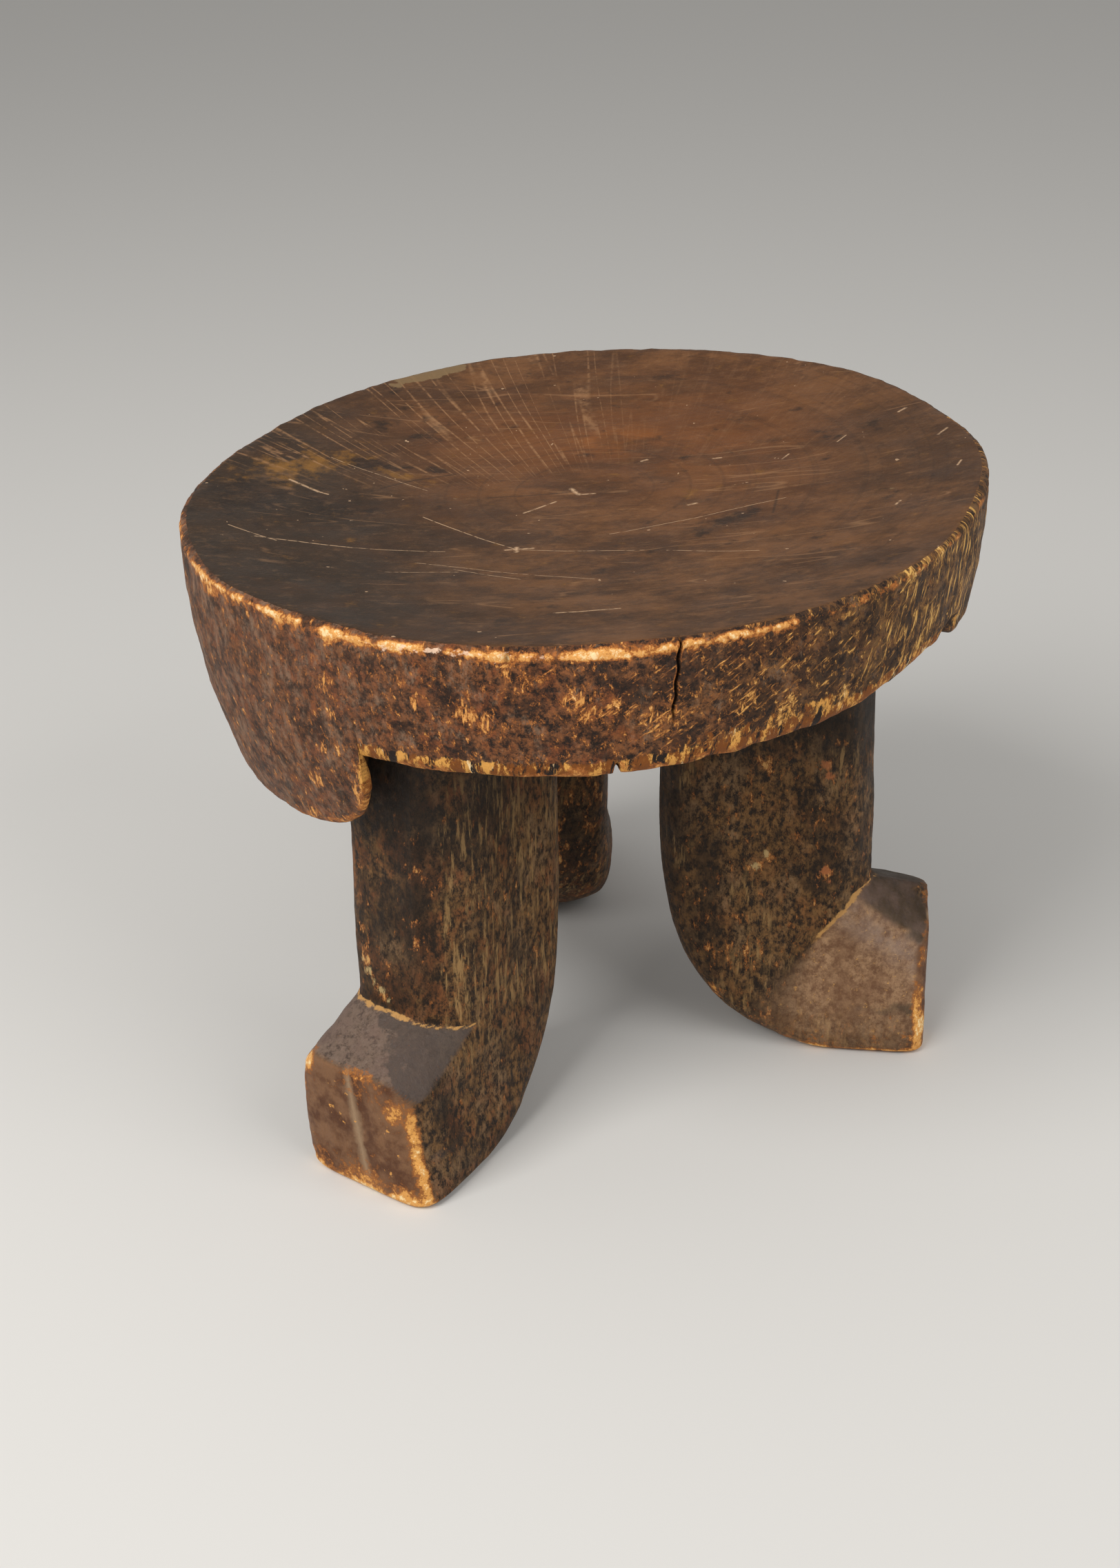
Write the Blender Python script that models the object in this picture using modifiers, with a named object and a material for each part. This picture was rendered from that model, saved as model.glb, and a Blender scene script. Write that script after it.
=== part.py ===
"""Three-legged stool carved from one log.

A round dished seat with a barrel wall and one hanging tongue stands on three radial blade legs.
Each leg is straight on its outer side, hollow on its inner side, and ends in a foot turned
outwards. The top of the log was cut a little aslant, so the seat rises to the right and back.
The carving is divided where its members end: seat, tongue, three shafts and three feet.
"""
import math

import bmesh
import bpy
from mathutils import Vector

# Seat: the log's top, its wall and its underside
SEAT_RADIUS = 0.1509
RIM_HEIGHT = 0.2406
RISE_TO_RIGHT = 0.0080
RISE_TO_BACK = 0.0050
DISH_DEPTH = 0.0130
DISH_POWER = 2.2
RIM_ROUNDING = 0.0035
WALL_HEIGHT = 0.0490
WALL_BAND = 0.0040
WALL_TUCK = 0.0186
TUCK_DEPTH = 0.100
TUCK_POWER = 2.2
LIP_WIDTH = 0.0150

# Hand-cut plan of the rim, degrees round from +X and share of the seat's radius
RIM_SHARES = ((0, 1.004), (22, 0.994), (45, 1.007), (75, 0.996), (93, 1.006), (125, 1.000), (149, 0.976),
              (166, 0.990), (184, 1.005), (206, 1.000), (229, 0.983), (248, 0.994), (270, 1.002),
              (306, 1.016), (338, 0.996))
# Hand-cut lower edge of the wall, degrees and share of the wall's height
EDGE_SHARES = ((0, 1.0), (60, 1.0), (120, 1.0), (180, 1.0), (240, 1.0), (270, 0.99), (298, 0.93), (311, 0.87),
               (322, 0.80), (331, 0.87), (341, 1.0))

# Tongue: the wall's hanging part, a rounded outline on the same barrel
TONGUE_AZIMUTH = math.radians(206.5)
TONGUE_HALF_ANGLE = math.radians(31.5)
TONGUE_BACK_HALF_ANGLE = math.radians(27.5)
TONGUE_DROP = 0.0460
TONGUE_POWER = 3.0
TONGUE_END_SHARE = 0.985
TONGUE_ROUNDING = 0.0045

# Legs: a blade section, seen from above longer than wide
LEG_SETBACK = 0.0256
LEG_INNER_REACH = 0.0388
LEG_OUTER_REACH = SEAT_RADIUS - LEG_SETBACK
LEG_OUTER_TAPER = 0.0041
LEG_INNER_HALF_WIDTH = 0.0221
LEG_OUTER_HALF_WIDTH = 0.0243
LEG_OUTER_WIDENING = 0.0030
LEG_INNER_POWER = 4.0
LEG_OUTER_POWER = 5.5
HEEL_SWEEP = 0.0750
HEEL_RISE = 0.1000
HEEL_POWER = 0.48

# Feet: they reach further out than the shaft, below a crease
CREASE_HEIGHT = 0.0665
FOOT_TOE = 0.0249
FOOT_FLARE = 0.0120
SOLE_INNER_HALF_WIDTH = 0.0260
SOLE_INNER_POWER = 3.0

# Foot levels: share of the crease height, share of the toe past the shaft, then for the square
# shoulder and the bevelled one the share of the flare and the power that squares the outer end
FOOT_LEVEL_SHARES = (
    (0.000, 0.97, (0.25, 5.0), (0.50, 6.0)),
    (0.023, 1.00, (0.42, 5.5), (0.60, 6.5)),
    (0.068, 1.00, (0.62, 6.0), (0.62, 7.0)),
    (0.151, 1.00, (0.80, 7.0), (0.58, 7.0)),
    (0.274, 1.00, (0.93, 7.0), (0.44, 7.0)),
    (0.406, 1.00, (1.00, 7.0), (0.24, 6.0)),
    (0.529, 1.00, (1.00, 7.0), (0.05, 4.2)),
    (0.633, 1.00, (0.98, 7.0), (0.00, 2.8)),
    (0.700, 1.00, (0.88, 6.5), (0.00, 2.3)),
    (0.746, 0.98, (0.66, 5.5), (0.00, 2.1)),
    (0.800, 0.80, (0.42, 4.6), (0.00, 2.2)),
    (0.865, 0.50, (0.22, 4.2), (0.00, 3.0)),
    (0.935, 0.21, (0.08, 4.8), (0.00, 4.2)),
    (1.000, 0.00, (0.00, 5.5), (0.00, 5.5)),
)
SHAFT_LEVEL_SHARES = (0.0, 0.12, 0.28, 0.50, 0.75, 1.0)

# Each leg's name, its azimuth, how far it stands out from the common reach, and the side of the
# foot that is bevelled, +1 on the left as seen from the middle and -1 on the right
LEGS = (
    ("front", math.radians(235.0), -0.0004, 1),
    ("right", math.radians(-3.7), -0.0081, -1),
    ("back", math.radians(101.5), 0.0000, 1),
)

# Seam between members that meet
SEAM = 0.0003

# Counts of facets
SEAT_SIDES = 96
RING_POINTS = 32
TONGUE_SECTIONS = 25
DISH_RINGS = 7
WALL_RINGS = 7

COLLECTION_NAME = "carved_african_stool"


def clear_scene():
    """Remove what the open file holds, so the stool stands alone."""
    for item in list(bpy.data.objects):
        bpy.data.objects.remove(item, do_unlink=True)


def wood(name, colour, roughness):
    """A plain wood surface for one member."""
    material = bpy.data.materials.new(name)
    material.use_nodes = True
    shader = material.node_tree.nodes["Principled BSDF"]
    shader.inputs["Base Color"].default_value = (*colour, 1.0)
    shader.inputs["Roughness"].default_value = roughness
    shader.inputs["Metallic"].default_value = 0.0
    return material


def share_at(table, azimuth):
    """Read a table of degrees and shares at an azimuth, eased from one entry to the next."""
    degrees = math.degrees(azimuth) % 360.0
    wrapped = table + ((table[0][0] + 360.0, table[0][1]),)
    for (start, low), (end, high) in zip(wrapped, wrapped[1:]):
        if start <= degrees <= end:
            step = (degrees - start) / (end - start)
            eased = step * step * (3.0 - 2.0 * step)
            return low + (high - low) * eased
    return table[0][1]


def rim_plane(x, y):
    """Height of the slanting rim plane over a point of the floor."""
    return RIM_HEIGHT + (RISE_TO_RIGHT * x + RISE_TO_BACK * y) / SEAT_RADIUS


def wall_radius(depth):
    """Radius of the barrel wall at a depth below the rim."""
    return SEAT_RADIUS - WALL_TUCK * (depth / TUCK_DEPTH) ** TUCK_POWER


def tongue_drop(azimuth):
    """How far the tongue hangs below the wall, nothing outside its outline."""
    across = abs((azimuth - TONGUE_AZIMUTH) / TONGUE_HALF_ANGLE)
    if across >= 1.0:
        return 0.0
    return TONGUE_DROP * (1.0 - across ** TONGUE_POWER) ** (1.0 / TONGUE_POWER)


def heel_radius(height):
    """Inner side of a leg: straight high up, then a hollow sweep outwards to the sole."""
    share = min(height / HEEL_RISE, 1.0)
    swept = (1.0 - share ** HEEL_POWER) ** (1.0 / HEEL_POWER)
    return LEG_INNER_REACH + HEEL_SWEEP * swept


def blade_ring(inner, outer, inner_width, inner_power, outer_ends):
    """One level of a leg seen from above: a rounded blade along +X.

    outer_ends holds a half width and a squaring power for the +Y side and for the -Y side.
    """
    middle = (inner + outer) / 2.0
    half_length = (outer - inner) / 2.0
    ring = []
    for index in range(RING_POINTS):
        angle = 2.0 * math.pi * (index + 0.5) / RING_POINTS
        outer_width, outer_power = outer_ends[0 if math.sin(angle) > 0.0 else 1]
        power = outer_power if math.cos(angle) > 0.0 else inner_power
        along = math.copysign(abs(math.cos(angle)) ** (2.0 / power), math.cos(angle))
        across = math.copysign(abs(math.sin(angle)) ** (2.0 / power), math.sin(angle))
        width = inner_width + (outer_width - inner_width) * (along + 1.0) / 2.0
        ring.append((middle + half_length * along, width * across))
    return ring


def loft(name, rings, material):
    """A closed body through rings of equal count, with a flat cap at each end."""
    shape = bmesh.new()
    levels = [[shape.verts.new(point) for point in ring] for ring in rings]
    for lower, upper in zip(levels, levels[1:]):
        for index in range(len(lower)):
            after = (index + 1) % len(lower)
            shape.faces.new((lower[index], lower[after], upper[after], upper[index]))
    shape.faces.new(levels[0][::-1])
    shape.faces.new(levels[-1])
    bmesh.ops.recalc_face_normals(shape, faces=shape.faces)
    mesh = bpy.data.meshes.new(name)
    shape.to_mesh(mesh)
    shape.free()
    return finished(name, mesh, material)


def finished(name, mesh, material):
    """Give a mesh its material, smooth shading and a place in the stool's collection."""
    mesh.materials.clear()
    mesh.materials.append(material)
    mesh.shade_smooth()
    mesh.set_sharp_from_angle(angle=math.radians(32))
    item = bpy.data.objects.new(name, mesh)
    bpy.data.collections[COLLECTION_NAME].objects.link(item)
    return item


def seat_profile():
    """The turned outline, radius and depth: across the dish, over the rim, down and under."""
    dish_radius = SEAT_RADIUS - RIM_ROUNDING
    points = []
    for index in range(DISH_RINGS):
        share = (index / DISH_RINGS) ** 0.8
        points.append((dish_radius * share, DISH_DEPTH * (1.0 - share ** DISH_POWER)))
    for index in range(4):
        turn = math.pi / 2.0 * index / 3
        points.append((dish_radius + RIM_ROUNDING * math.sin(turn), RIM_ROUNDING * (1.0 - math.cos(turn))))
    band_top = WALL_HEIGHT - WALL_BAND
    for index in range(1, WALL_RINGS + 1):
        depth = RIM_ROUNDING + (band_top - RIM_ROUNDING) * index / WALL_RINGS
        points.append((wall_radius(depth), depth))
    points.append((wall_radius(WALL_HEIGHT) - WALL_BAND / 2.0, WALL_HEIGHT))
    points.append((wall_radius(WALL_HEIGHT) - LIP_WIDTH, WALL_HEIGHT))
    points.append((0.0, WALL_HEIGHT))
    return points


def carved(point):
    """Move a point of the turned blank to its place on the hand-cut seat."""
    radius = math.hypot(point.x, point.y)
    azimuth = math.atan2(point.y, point.x)
    depth = -point.z
    if radius > wall_radius(WALL_HEIGHT) - LIP_WIDTH / 2.0 and depth > RIM_ROUNDING:
        depth *= share_at(EDGE_SHARES, azimuth)
        under_band = max(depth - (WALL_HEIGHT - WALL_BAND), 0.0) / WALL_BAND
        if tongue_drop(azimuth % (2.0 * math.pi)) > 0.0 and under_band > 0.0:
            radius = wall_radius(depth)
    radius *= share_at(RIM_SHARES, azimuth)
    x = radius * math.cos(azimuth)
    y = radius * math.sin(azimuth)
    return Vector((x, y, rim_plane(x, y) - depth))


def build_seat():
    """The seat block: an outline turned by a Screw modifier, then cut by hand."""
    profile = seat_profile()
    outline = bpy.data.meshes.new("seat_outline")
    outline.from_pydata(
        [(radius, 0.0, -depth) for radius, depth in profile],
        [(index, index + 1) for index in range(len(profile) - 1)],
        [],
    )
    blank = bpy.data.objects.new("seat_blank", outline)
    bpy.data.collections[COLLECTION_NAME].objects.link(blank)
    turn = blank.modifiers.new("Turned", "SCREW")
    turn.axis = "Z"
    turn.angle = 2.0 * math.pi
    turn.steps = SEAT_SIDES
    turn.render_steps = SEAT_SIDES
    turn.use_merge_vertices = True
    turn.merge_threshold = SEAM / 6.0
    scene_state = bpy.context.evaluated_depsgraph_get()
    turned = bpy.data.meshes.new_from_object(blank.evaluated_get(scene_state))
    bpy.data.objects.remove(blank, do_unlink=True)
    for vertex in turned.vertices:
        vertex.co = carved(vertex.co)
    turned.name = "seat"
    return finished("seat", turned, wood("seat_wood", (0.115, 0.052, 0.026), 0.42))


def tongue_section(across, back_radius):
    """One upright slice of the tongue: outer wall, rounded lower edge and plain back."""
    azimuth = TONGUE_AZIMUTH + TONGUE_HALF_ANGLE * across
    back_azimuth = TONGUE_AZIMUTH + TONGUE_BACK_HALF_ANGLE * across
    top = WALL_HEIGHT + SEAM
    foot = WALL_HEIGHT + tongue_drop(azimuth)
    share = share_at(RIM_SHARES, azimuth)
    outline = []
    rounding = min(TONGUE_ROUNDING, (wall_radius(foot) * share - back_radius) / 2.0)
    for index in range(6):
        depth = top + (foot - rounding - top) * index / 5
        outline.append((wall_radius(depth) * share, azimuth, depth))
    corner = wall_radius(foot - rounding) * share - rounding
    for turn in (math.radians(30), math.radians(60), math.radians(90)):
        outline.append((corner + rounding * math.cos(turn), azimuth, foot - rounding * (1.0 - math.sin(turn))))
    outline.append((back_radius, back_azimuth, foot - SEAM))
    outline.append((back_radius, back_azimuth, top))
    section = []
    for radius, place, depth in outline:
        x = radius * math.cos(place)
        y = radius * math.sin(place)
        section.append((x, y, rim_plane(x, y) - depth))
    return section


def build_tongue():
    """The tongue: slices lofted round the wall, its back against the front leg's outer side."""
    front_reach = LEG_OUTER_REACH + LEGS[0][2]
    sections = []
    for index in range(TONGUE_SECTIONS):
        across = -math.cos(math.pi * index / (TONGUE_SECTIONS - 1)) * TONGUE_END_SHARE
        sections.append(tongue_section(across, front_reach + SEAM))
    return loft("tongue", sections, wood("tongue_wood", (0.125, 0.055, 0.028), 0.55))


def shaft_ring(share, height, stand_out):
    """The shaft's blade section at a share of its length and its height above the floor."""
    outer = LEG_OUTER_REACH - LEG_OUTER_TAPER * share
    outer_end = (LEG_OUTER_HALF_WIDTH + LEG_OUTER_WIDENING * share, LEG_OUTER_POWER)
    return blade_ring(
        heel_radius(height) + stand_out, outer + stand_out,
        LEG_INNER_HALF_WIDTH, LEG_INNER_POWER, (outer_end, outer_end),
    )


def build_shaft(name, azimuth, stand_out):
    """A leg from its crease up to the slanting underside of the seat."""
    start = CREASE_HEIGHT + SEAM / 2.0
    rings = []
    for share in SHAFT_LEVEL_SHARES:
        ring = []
        level = start + (RIM_HEIGHT - WALL_HEIGHT - start) * share
        for along, across in shaft_ring(share, level, stand_out):
            x = along * math.cos(azimuth) - across * math.sin(azimuth)
            y = along * math.sin(azimuth) + across * math.cos(azimuth)
            end = rim_plane(x, y) - WALL_HEIGHT - SEAM
            ring.append((along, across, start + (end - start) * share))
        rings.append(ring)
    shaft = loft("leg_" + name, rings, wood("leg_" + name + "_wood", (0.085, 0.048, 0.028), 0.60))
    shaft.rotation_euler.z = azimuth
    return shaft


def foot_ring(level, stand_out, bevelled_side):
    """The foot's section at one of its levels, from the heel's hollow to the end face."""
    level_share, reach_share, square_shoulder, bevelled_shoulder = level
    height = (CREASE_HEIGHT - SEAM / 2.0) * level_share
    outer = LEG_OUTER_REACH + FOOT_TOE * reach_share
    inner_width = SOLE_INNER_HALF_WIDTH + (LEG_INNER_HALF_WIDTH - SOLE_INNER_HALF_WIDTH) * level_share
    inner_power = SOLE_INNER_POWER + (LEG_INNER_POWER - SOLE_INNER_POWER) * level_share
    shoulders = (bevelled_shoulder, square_shoulder)[::bevelled_side]
    outer_ends = [(LEG_OUTER_HALF_WIDTH + FOOT_FLARE * share, power) for share, power in shoulders]
    ring = blade_ring(
        heel_radius(height) + stand_out, outer + stand_out, inner_width, inner_power, outer_ends,
    )
    return [(along, across, height) for along, across in ring]


def build_foot(name, azimuth, stand_out, bevelled_side):
    """A foot from its flat sole up to the crease, under its shaft."""
    rings = [foot_ring(level, stand_out, bevelled_side) for level in FOOT_LEVEL_SHARES]
    foot = loft("foot_" + name, rings, wood("foot_" + name + "_wood", (0.105, 0.060, 0.038), 0.55))
    foot.rotation_euler.z = azimuth
    return foot


def build_stool():
    """All members of the carving, parented to one empty at the middle of the floor."""
    clear_scene()
    collection = bpy.data.collections.new(COLLECTION_NAME)
    bpy.context.scene.collection.children.link(collection)
    middle = bpy.data.objects.new("stool_middle", None)
    collection.objects.link(middle)
    members = [build_seat(), build_tongue()]
    for name, azimuth, stand_out, bevelled_side in LEGS:
        members.append(build_shaft(name, azimuth, stand_out))
        members.append(build_foot(name, azimuth, stand_out, bevelled_side))
    for member in members:
        member.parent = middle
    return members


build_stool()
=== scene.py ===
# %% [markdown]
# # A three-legged stool carved from one log
# The real stool is a single piece of wood: a round dished seat with a deep wall, one tongue that
# hangs from the wall, and three blade-shaped legs that end in turned-out feet. It is old, dark and
# handled smooth, with golden wood showing wherever an edge has been rubbed. This lesson builds the
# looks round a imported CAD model, which fixes the main sizes and places.

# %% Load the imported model
import math

import bpy
import numpy as np
from mathutils import Matrix, Vector, noise


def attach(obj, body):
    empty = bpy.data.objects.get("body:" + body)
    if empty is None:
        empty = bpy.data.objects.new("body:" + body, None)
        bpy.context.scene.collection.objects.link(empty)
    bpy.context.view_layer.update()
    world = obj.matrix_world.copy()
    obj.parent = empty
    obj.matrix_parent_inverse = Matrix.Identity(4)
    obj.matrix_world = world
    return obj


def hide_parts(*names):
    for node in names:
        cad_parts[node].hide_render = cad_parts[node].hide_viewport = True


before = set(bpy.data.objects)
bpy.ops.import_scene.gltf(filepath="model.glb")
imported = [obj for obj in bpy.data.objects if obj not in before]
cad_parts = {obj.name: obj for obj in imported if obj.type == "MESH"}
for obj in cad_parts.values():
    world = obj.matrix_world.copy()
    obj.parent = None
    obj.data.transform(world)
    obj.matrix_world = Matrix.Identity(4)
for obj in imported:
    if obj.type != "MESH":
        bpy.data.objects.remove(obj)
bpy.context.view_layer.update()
print("packed nodes:", sorted(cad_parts))

# %% [markdown]
# ## The sizes
# These are the CAD model's own sizes, in millimetres here because that is how a carver would say
# them, and turned into metres once. The top of the log was cut aslant, so every height on the seat
# is a depth below a slanting rim plane.

# %% Name the sizes
MM = 0.001
SEAT_RADIUS = 150.9 * MM
RIM_HEIGHT = 240.6 * MM
RISE_TO_RIGHT = 8.0 / 150.9
RISE_TO_BACK = 5.0 / 150.9
DISH_DEPTH = 13.0 * MM
WALL_HEIGHT = 49.0 * MM
WALL_TUCK = 18.6 * MM
TUCK_DEPTH = 100.0 * MM
TUCK_POWER = 2.2


def rim_plane(x, y):
    """Height of the slanting rim over a point of the floor."""
    return RIM_HEIGHT + RISE_TO_RIGHT * x + RISE_TO_BACK * y


def wall_radius(depth):
    """Radius of the barrel wall at a depth below the rim."""
    return SEAT_RADIUS - WALL_TUCK * (np.clip(depth, 0.0, None) / TUCK_DEPTH) ** TUCK_POWER


print("rim above the floor, left and right:", rim_plane(-SEAT_RADIUS, 0), rim_plane(SEAT_RADIUS, 0))

# %% [markdown]
# ## The camera
# The camera was found from the photograph: the rim's ellipse, the soles on the floor and the
# upright edges of the legs fix where it stood, how far it tipped down and its focal length. It is
# placed by those numbers, so that the render can be laid over the photograph.

# %% Place the camera
CAMERA_PLACE = Vector((-1.85, -744.7, 500.1)) * MM
CAMERA_YAW = math.radians(-0.639)
CAMERA_TIP = math.radians(27.747)
CAMERA_ROLL = math.radians(-0.993)
CAMERA_LENS = 47.51
SENSOR_WIDTH = 36.0


def aim(yaw, tip, roll):
    """Turn of a camera that looks along +Y, yawed right, tipped down and rolled, as a matrix."""
    ahead = Vector((math.sin(yaw) * math.cos(tip), math.cos(yaw) * math.cos(tip), -math.sin(tip)))
    right = Vector((math.cos(yaw), -math.sin(yaw), 0.0))
    up = right.cross(ahead)
    rolled_right = math.cos(roll) * right + math.sin(roll) * up
    rolled_up = -math.sin(roll) * right + math.cos(roll) * up
    return Matrix((rolled_right, rolled_up, -ahead)).transposed()


camera_data = bpy.data.cameras.new("camera")
camera_data.lens = CAMERA_LENS
camera_data.sensor_width = SENSOR_WIDTH
camera = bpy.data.objects.new("camera", camera_data)
camera.matrix_world = Matrix.Translation(CAMERA_PLACE) @ aim(CAMERA_YAW, CAMERA_TIP, CAMERA_ROLL).to_4x4()
bpy.context.scene.collection.objects.link(camera)
bpy.context.scene.camera = camera
print("camera at", tuple(round(v, 3) for v in camera.location))

# %% [markdown]
# ## Floor and light
# A plain pale floor and soft light, as in a studio. Two large lamps stand in front of the stool: a
# strong one high on the left, where the photograph's sky was brightest, and a weaker one on the
# right. The world fills the shadows, and where the camera looks past the floor it sees a pale grey.

# %% Hang the lamps
def lamp(name, place, target, size, power, colour):
    """A square area lamp that faces a target."""
    data = bpy.data.lights.new(name, "AREA")
    data.size = size
    data.energy = power
    data.color = colour
    item = bpy.data.objects.new(name, data)
    item.location = place
    item.rotation_euler = (Vector(target) - Vector(place)).to_track_quat("-Z", "Y").to_euler()
    bpy.context.scene.collection.objects.link(item)


lamp("window", (-1.0, -1.0, 1.5), (0.0, 0.0, 0.15), 1.1, 32.0, (1.0, 0.985, 0.96))
lamp("sky_right", (1.3, -1.0, 1.2), (0.0, 0.0, 0.1), 1.4, 14.0, (1.0, 0.99, 0.97))


# %% Fill the shadows
def add(tree, kind, inputs=(), **settings):
    """Place a node, set it, and feed its inputs from plain values or from other sockets."""
    node = tree.nodes.new(kind)
    for name, value in settings.items():
        setattr(node, name, value)
    for key, value in dict(inputs).items():
        if isinstance(value, bpy.types.NodeSocket):
            tree.links.new(value, node.inputs[key])
        else:
            node.inputs[key].default_value = value
    return node


world = bpy.data.worlds.new("studio")
bpy.context.scene.world = world
world.use_nodes = True
world_tree = world.node_tree
glow = world_tree.nodes["Background"]
glow.inputs["Color"].default_value = (1.0, 0.985, 0.96, 1.0)
glow.inputs["Strength"].default_value = 0.40
shown = add(world_tree, "ShaderNodeBackground", {"Color": (0.86, 0.86, 0.85, 1.0), "Strength": 1.0})
seen = add(world_tree, "ShaderNodeLightPath").outputs["Is Camera Ray"]
either = add(world_tree, "ShaderNodeMixShader", {0: seen, 1: glow.outputs[0], 2: shown.outputs[0]})
world_tree.links.new(either.outputs[0], world_tree.nodes["World Output"].inputs["Surface"])
print("world nodes:", [node.name for node in world_tree.nodes])

# %% Lay the floor
FLOOR_HALF = 4.0
floor_mesh = bpy.data.meshes.new("floor")
floor_corners = [(x * FLOOR_HALF, y * FLOOR_HALF, 0.0) for x, y in ((-1, -1), (1, -1), (1, 1), (-1, 1))]
floor_mesh.from_pydata(floor_corners, [], [(0, 1, 2, 3)])
floor = bpy.data.objects.new("floor", floor_mesh)
bpy.context.scene.collection.objects.link(floor)
floor_paint = bpy.data.materials.new("pale_floor")
floor_paint.use_nodes = True
floor_shader = floor_paint.node_tree.nodes["Principled BSDF"]
floor_shader.inputs["Base Color"].default_value = (0.66, 0.65, 0.63, 1.0)
floor_shader.inputs["Roughness"].default_value = 0.9
floor_mesh.materials.append(floor_paint)
bpy.context.scene.view_settings.view_transform = "Standard"
print("floor is", 2 * FLOOR_HALF, "m square")

# %% [markdown]
# ## Small tools of the carver
# Everything hand-cut is uneven. An eased table gives a size that changes round the seat, and
# Perlin noise gives the low bumps that an adze leaves. Both are read for all points at once.

# %% Tables and bumps
def eased(table, places, turn=None):
    """Read pairs of place and value at many places, eased between them, closed after one turn."""
    rows = list(table) + ([(table[0][0] + turn, table[0][1])] if turn else [])
    knots = np.array([row[0] for row in rows], float)
    values = np.array([row[1] for row in rows], float)
    places = np.asarray(places, float)
    places = (places - knots[0]) % turn + knots[0] if turn else np.clip(places, knots[0], knots[-1])
    index = np.clip(np.searchsorted(knots, places, side="right") - 1, 0, len(knots) - 2)
    step = (places - knots[index]) / (knots[index + 1] - knots[index])
    step = step * step * (3.0 - 2.0 * step)
    return values[index] + (values[index + 1] - values[index]) * step


def way_through(value, start, end):
    """The share of the way from start to end, from 0 to 1."""
    return np.clip((value - start) / (end - start), 0.0, 1.0)


def ramp(value, start, end):
    """0 below start, 1 above end, eased between."""
    step = way_through(value, start, end)
    return step * step * (3.0 - 2.0 * step)


def within(value, start, full, fade, end):
    """0 below start and above end, 1 from full to fade, eased between."""
    return ramp(value, start, full) * (1.0 - ramp(value, fade, end))


def hump(value, centre, spread):
    """1 at the centre, falling away like a bell on both sides."""
    return np.exp(-((value - centre) / spread) ** 2)


def bumps(points, size, stretch=(1.0, 1.0, 1.0), seed=0.0, octaves=2):
    """Noise from about -1 to 1 at each point, with bumps about size wide."""
    scaled = points / (size * np.array(stretch)) + seed
    return np.array([noise.fractal(Vector(p), 1.0, 2.0, octaves) for p in scaled])


def angle_between(degrees, centre):
    """Signed turn from a centre azimuth, in degrees."""
    return (degrees - centre + 180.0) % 360.0 - 180.0


print("eased check:", eased(((0, 0.0), (10, 1.0)), [5.0])[0])

# %% [markdown]
# ## The seat, first as a turned blank
# Before the hand work, the seat follows one rule: an outline turned round the log's axis. A
# Geometry Nodes tree makes it from a grid whose rows run from the middle of the dish, over the
# rim, down the wall and back under to the middle, and whose columns go round. Two curves give the
# outline's radius and depth. The tree keeps each point's place along the outline in an attribute,
# so that the carving after it knows dish, rim, wall and underside apart.

# %% Name the stretches of the outline
DISH_END = 0.40
CROWN_END = 0.46
WALL_END = 0.76
BAND_END = 0.83
BACK_END = 0.89
SEAT_COLUMNS = 560
SEAT_RINGS = 150
OUTLINE = (
    (0.0, 0.0, 0.27), (DISH_END, 0.977, 0.0), (CROWN_END, 1.0, 0.07), (WALL_END, 0.97, 0.92),
    (BAND_END, 0.91, 1.0), (BACK_END, 0.87, 1.0), (1.0, 0.0, 1.0),
)


def outline_curve(tree, column):
    """A Float Curve node through one column of the outline's table."""
    node = tree.nodes.new("ShaderNodeFloatCurve")
    points = node.mapping.curves[0].points
    points[0].location = (OUTLINE[0][0], OUTLINE[0][column])
    points[1].location = (OUTLINE[-1][0], OUTLINE[-1][column])
    for row in OUTLINE[1:-1]:
        points.new(row[0], row[column])
    for point in points:
        point.handle_type = "VECTOR"
    node.mapping.update()
    return node


# %% Build the turning tree
def maths(tree, operation, first, second=0.5, third=0.0, clamp=False):
    """The result of one Math node."""
    inputs = {0: first, 1: second, 2: third}
    return add(tree, "ShaderNodeMath", inputs, operation=operation, use_clamp=clamp).outputs[0]


def new_group(name, inputs, outputs, kind="ShaderNodeTree"):
    """An empty node group with named sockets, then what it is given and what it has to fill."""
    tree = bpy.data.node_groups.new(name, kind)
    for in_out, sockets in (("INPUT", inputs), ("OUTPUT", outputs)):
        for label, socket in sockets.items():
            tree.interface.new_socket(label, in_out=in_out, socket_type="NodeSocket" + socket)
    return tree, add(tree, "NodeGroupInput").outputs, add(tree, "NodeGroupOutput").inputs


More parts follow.
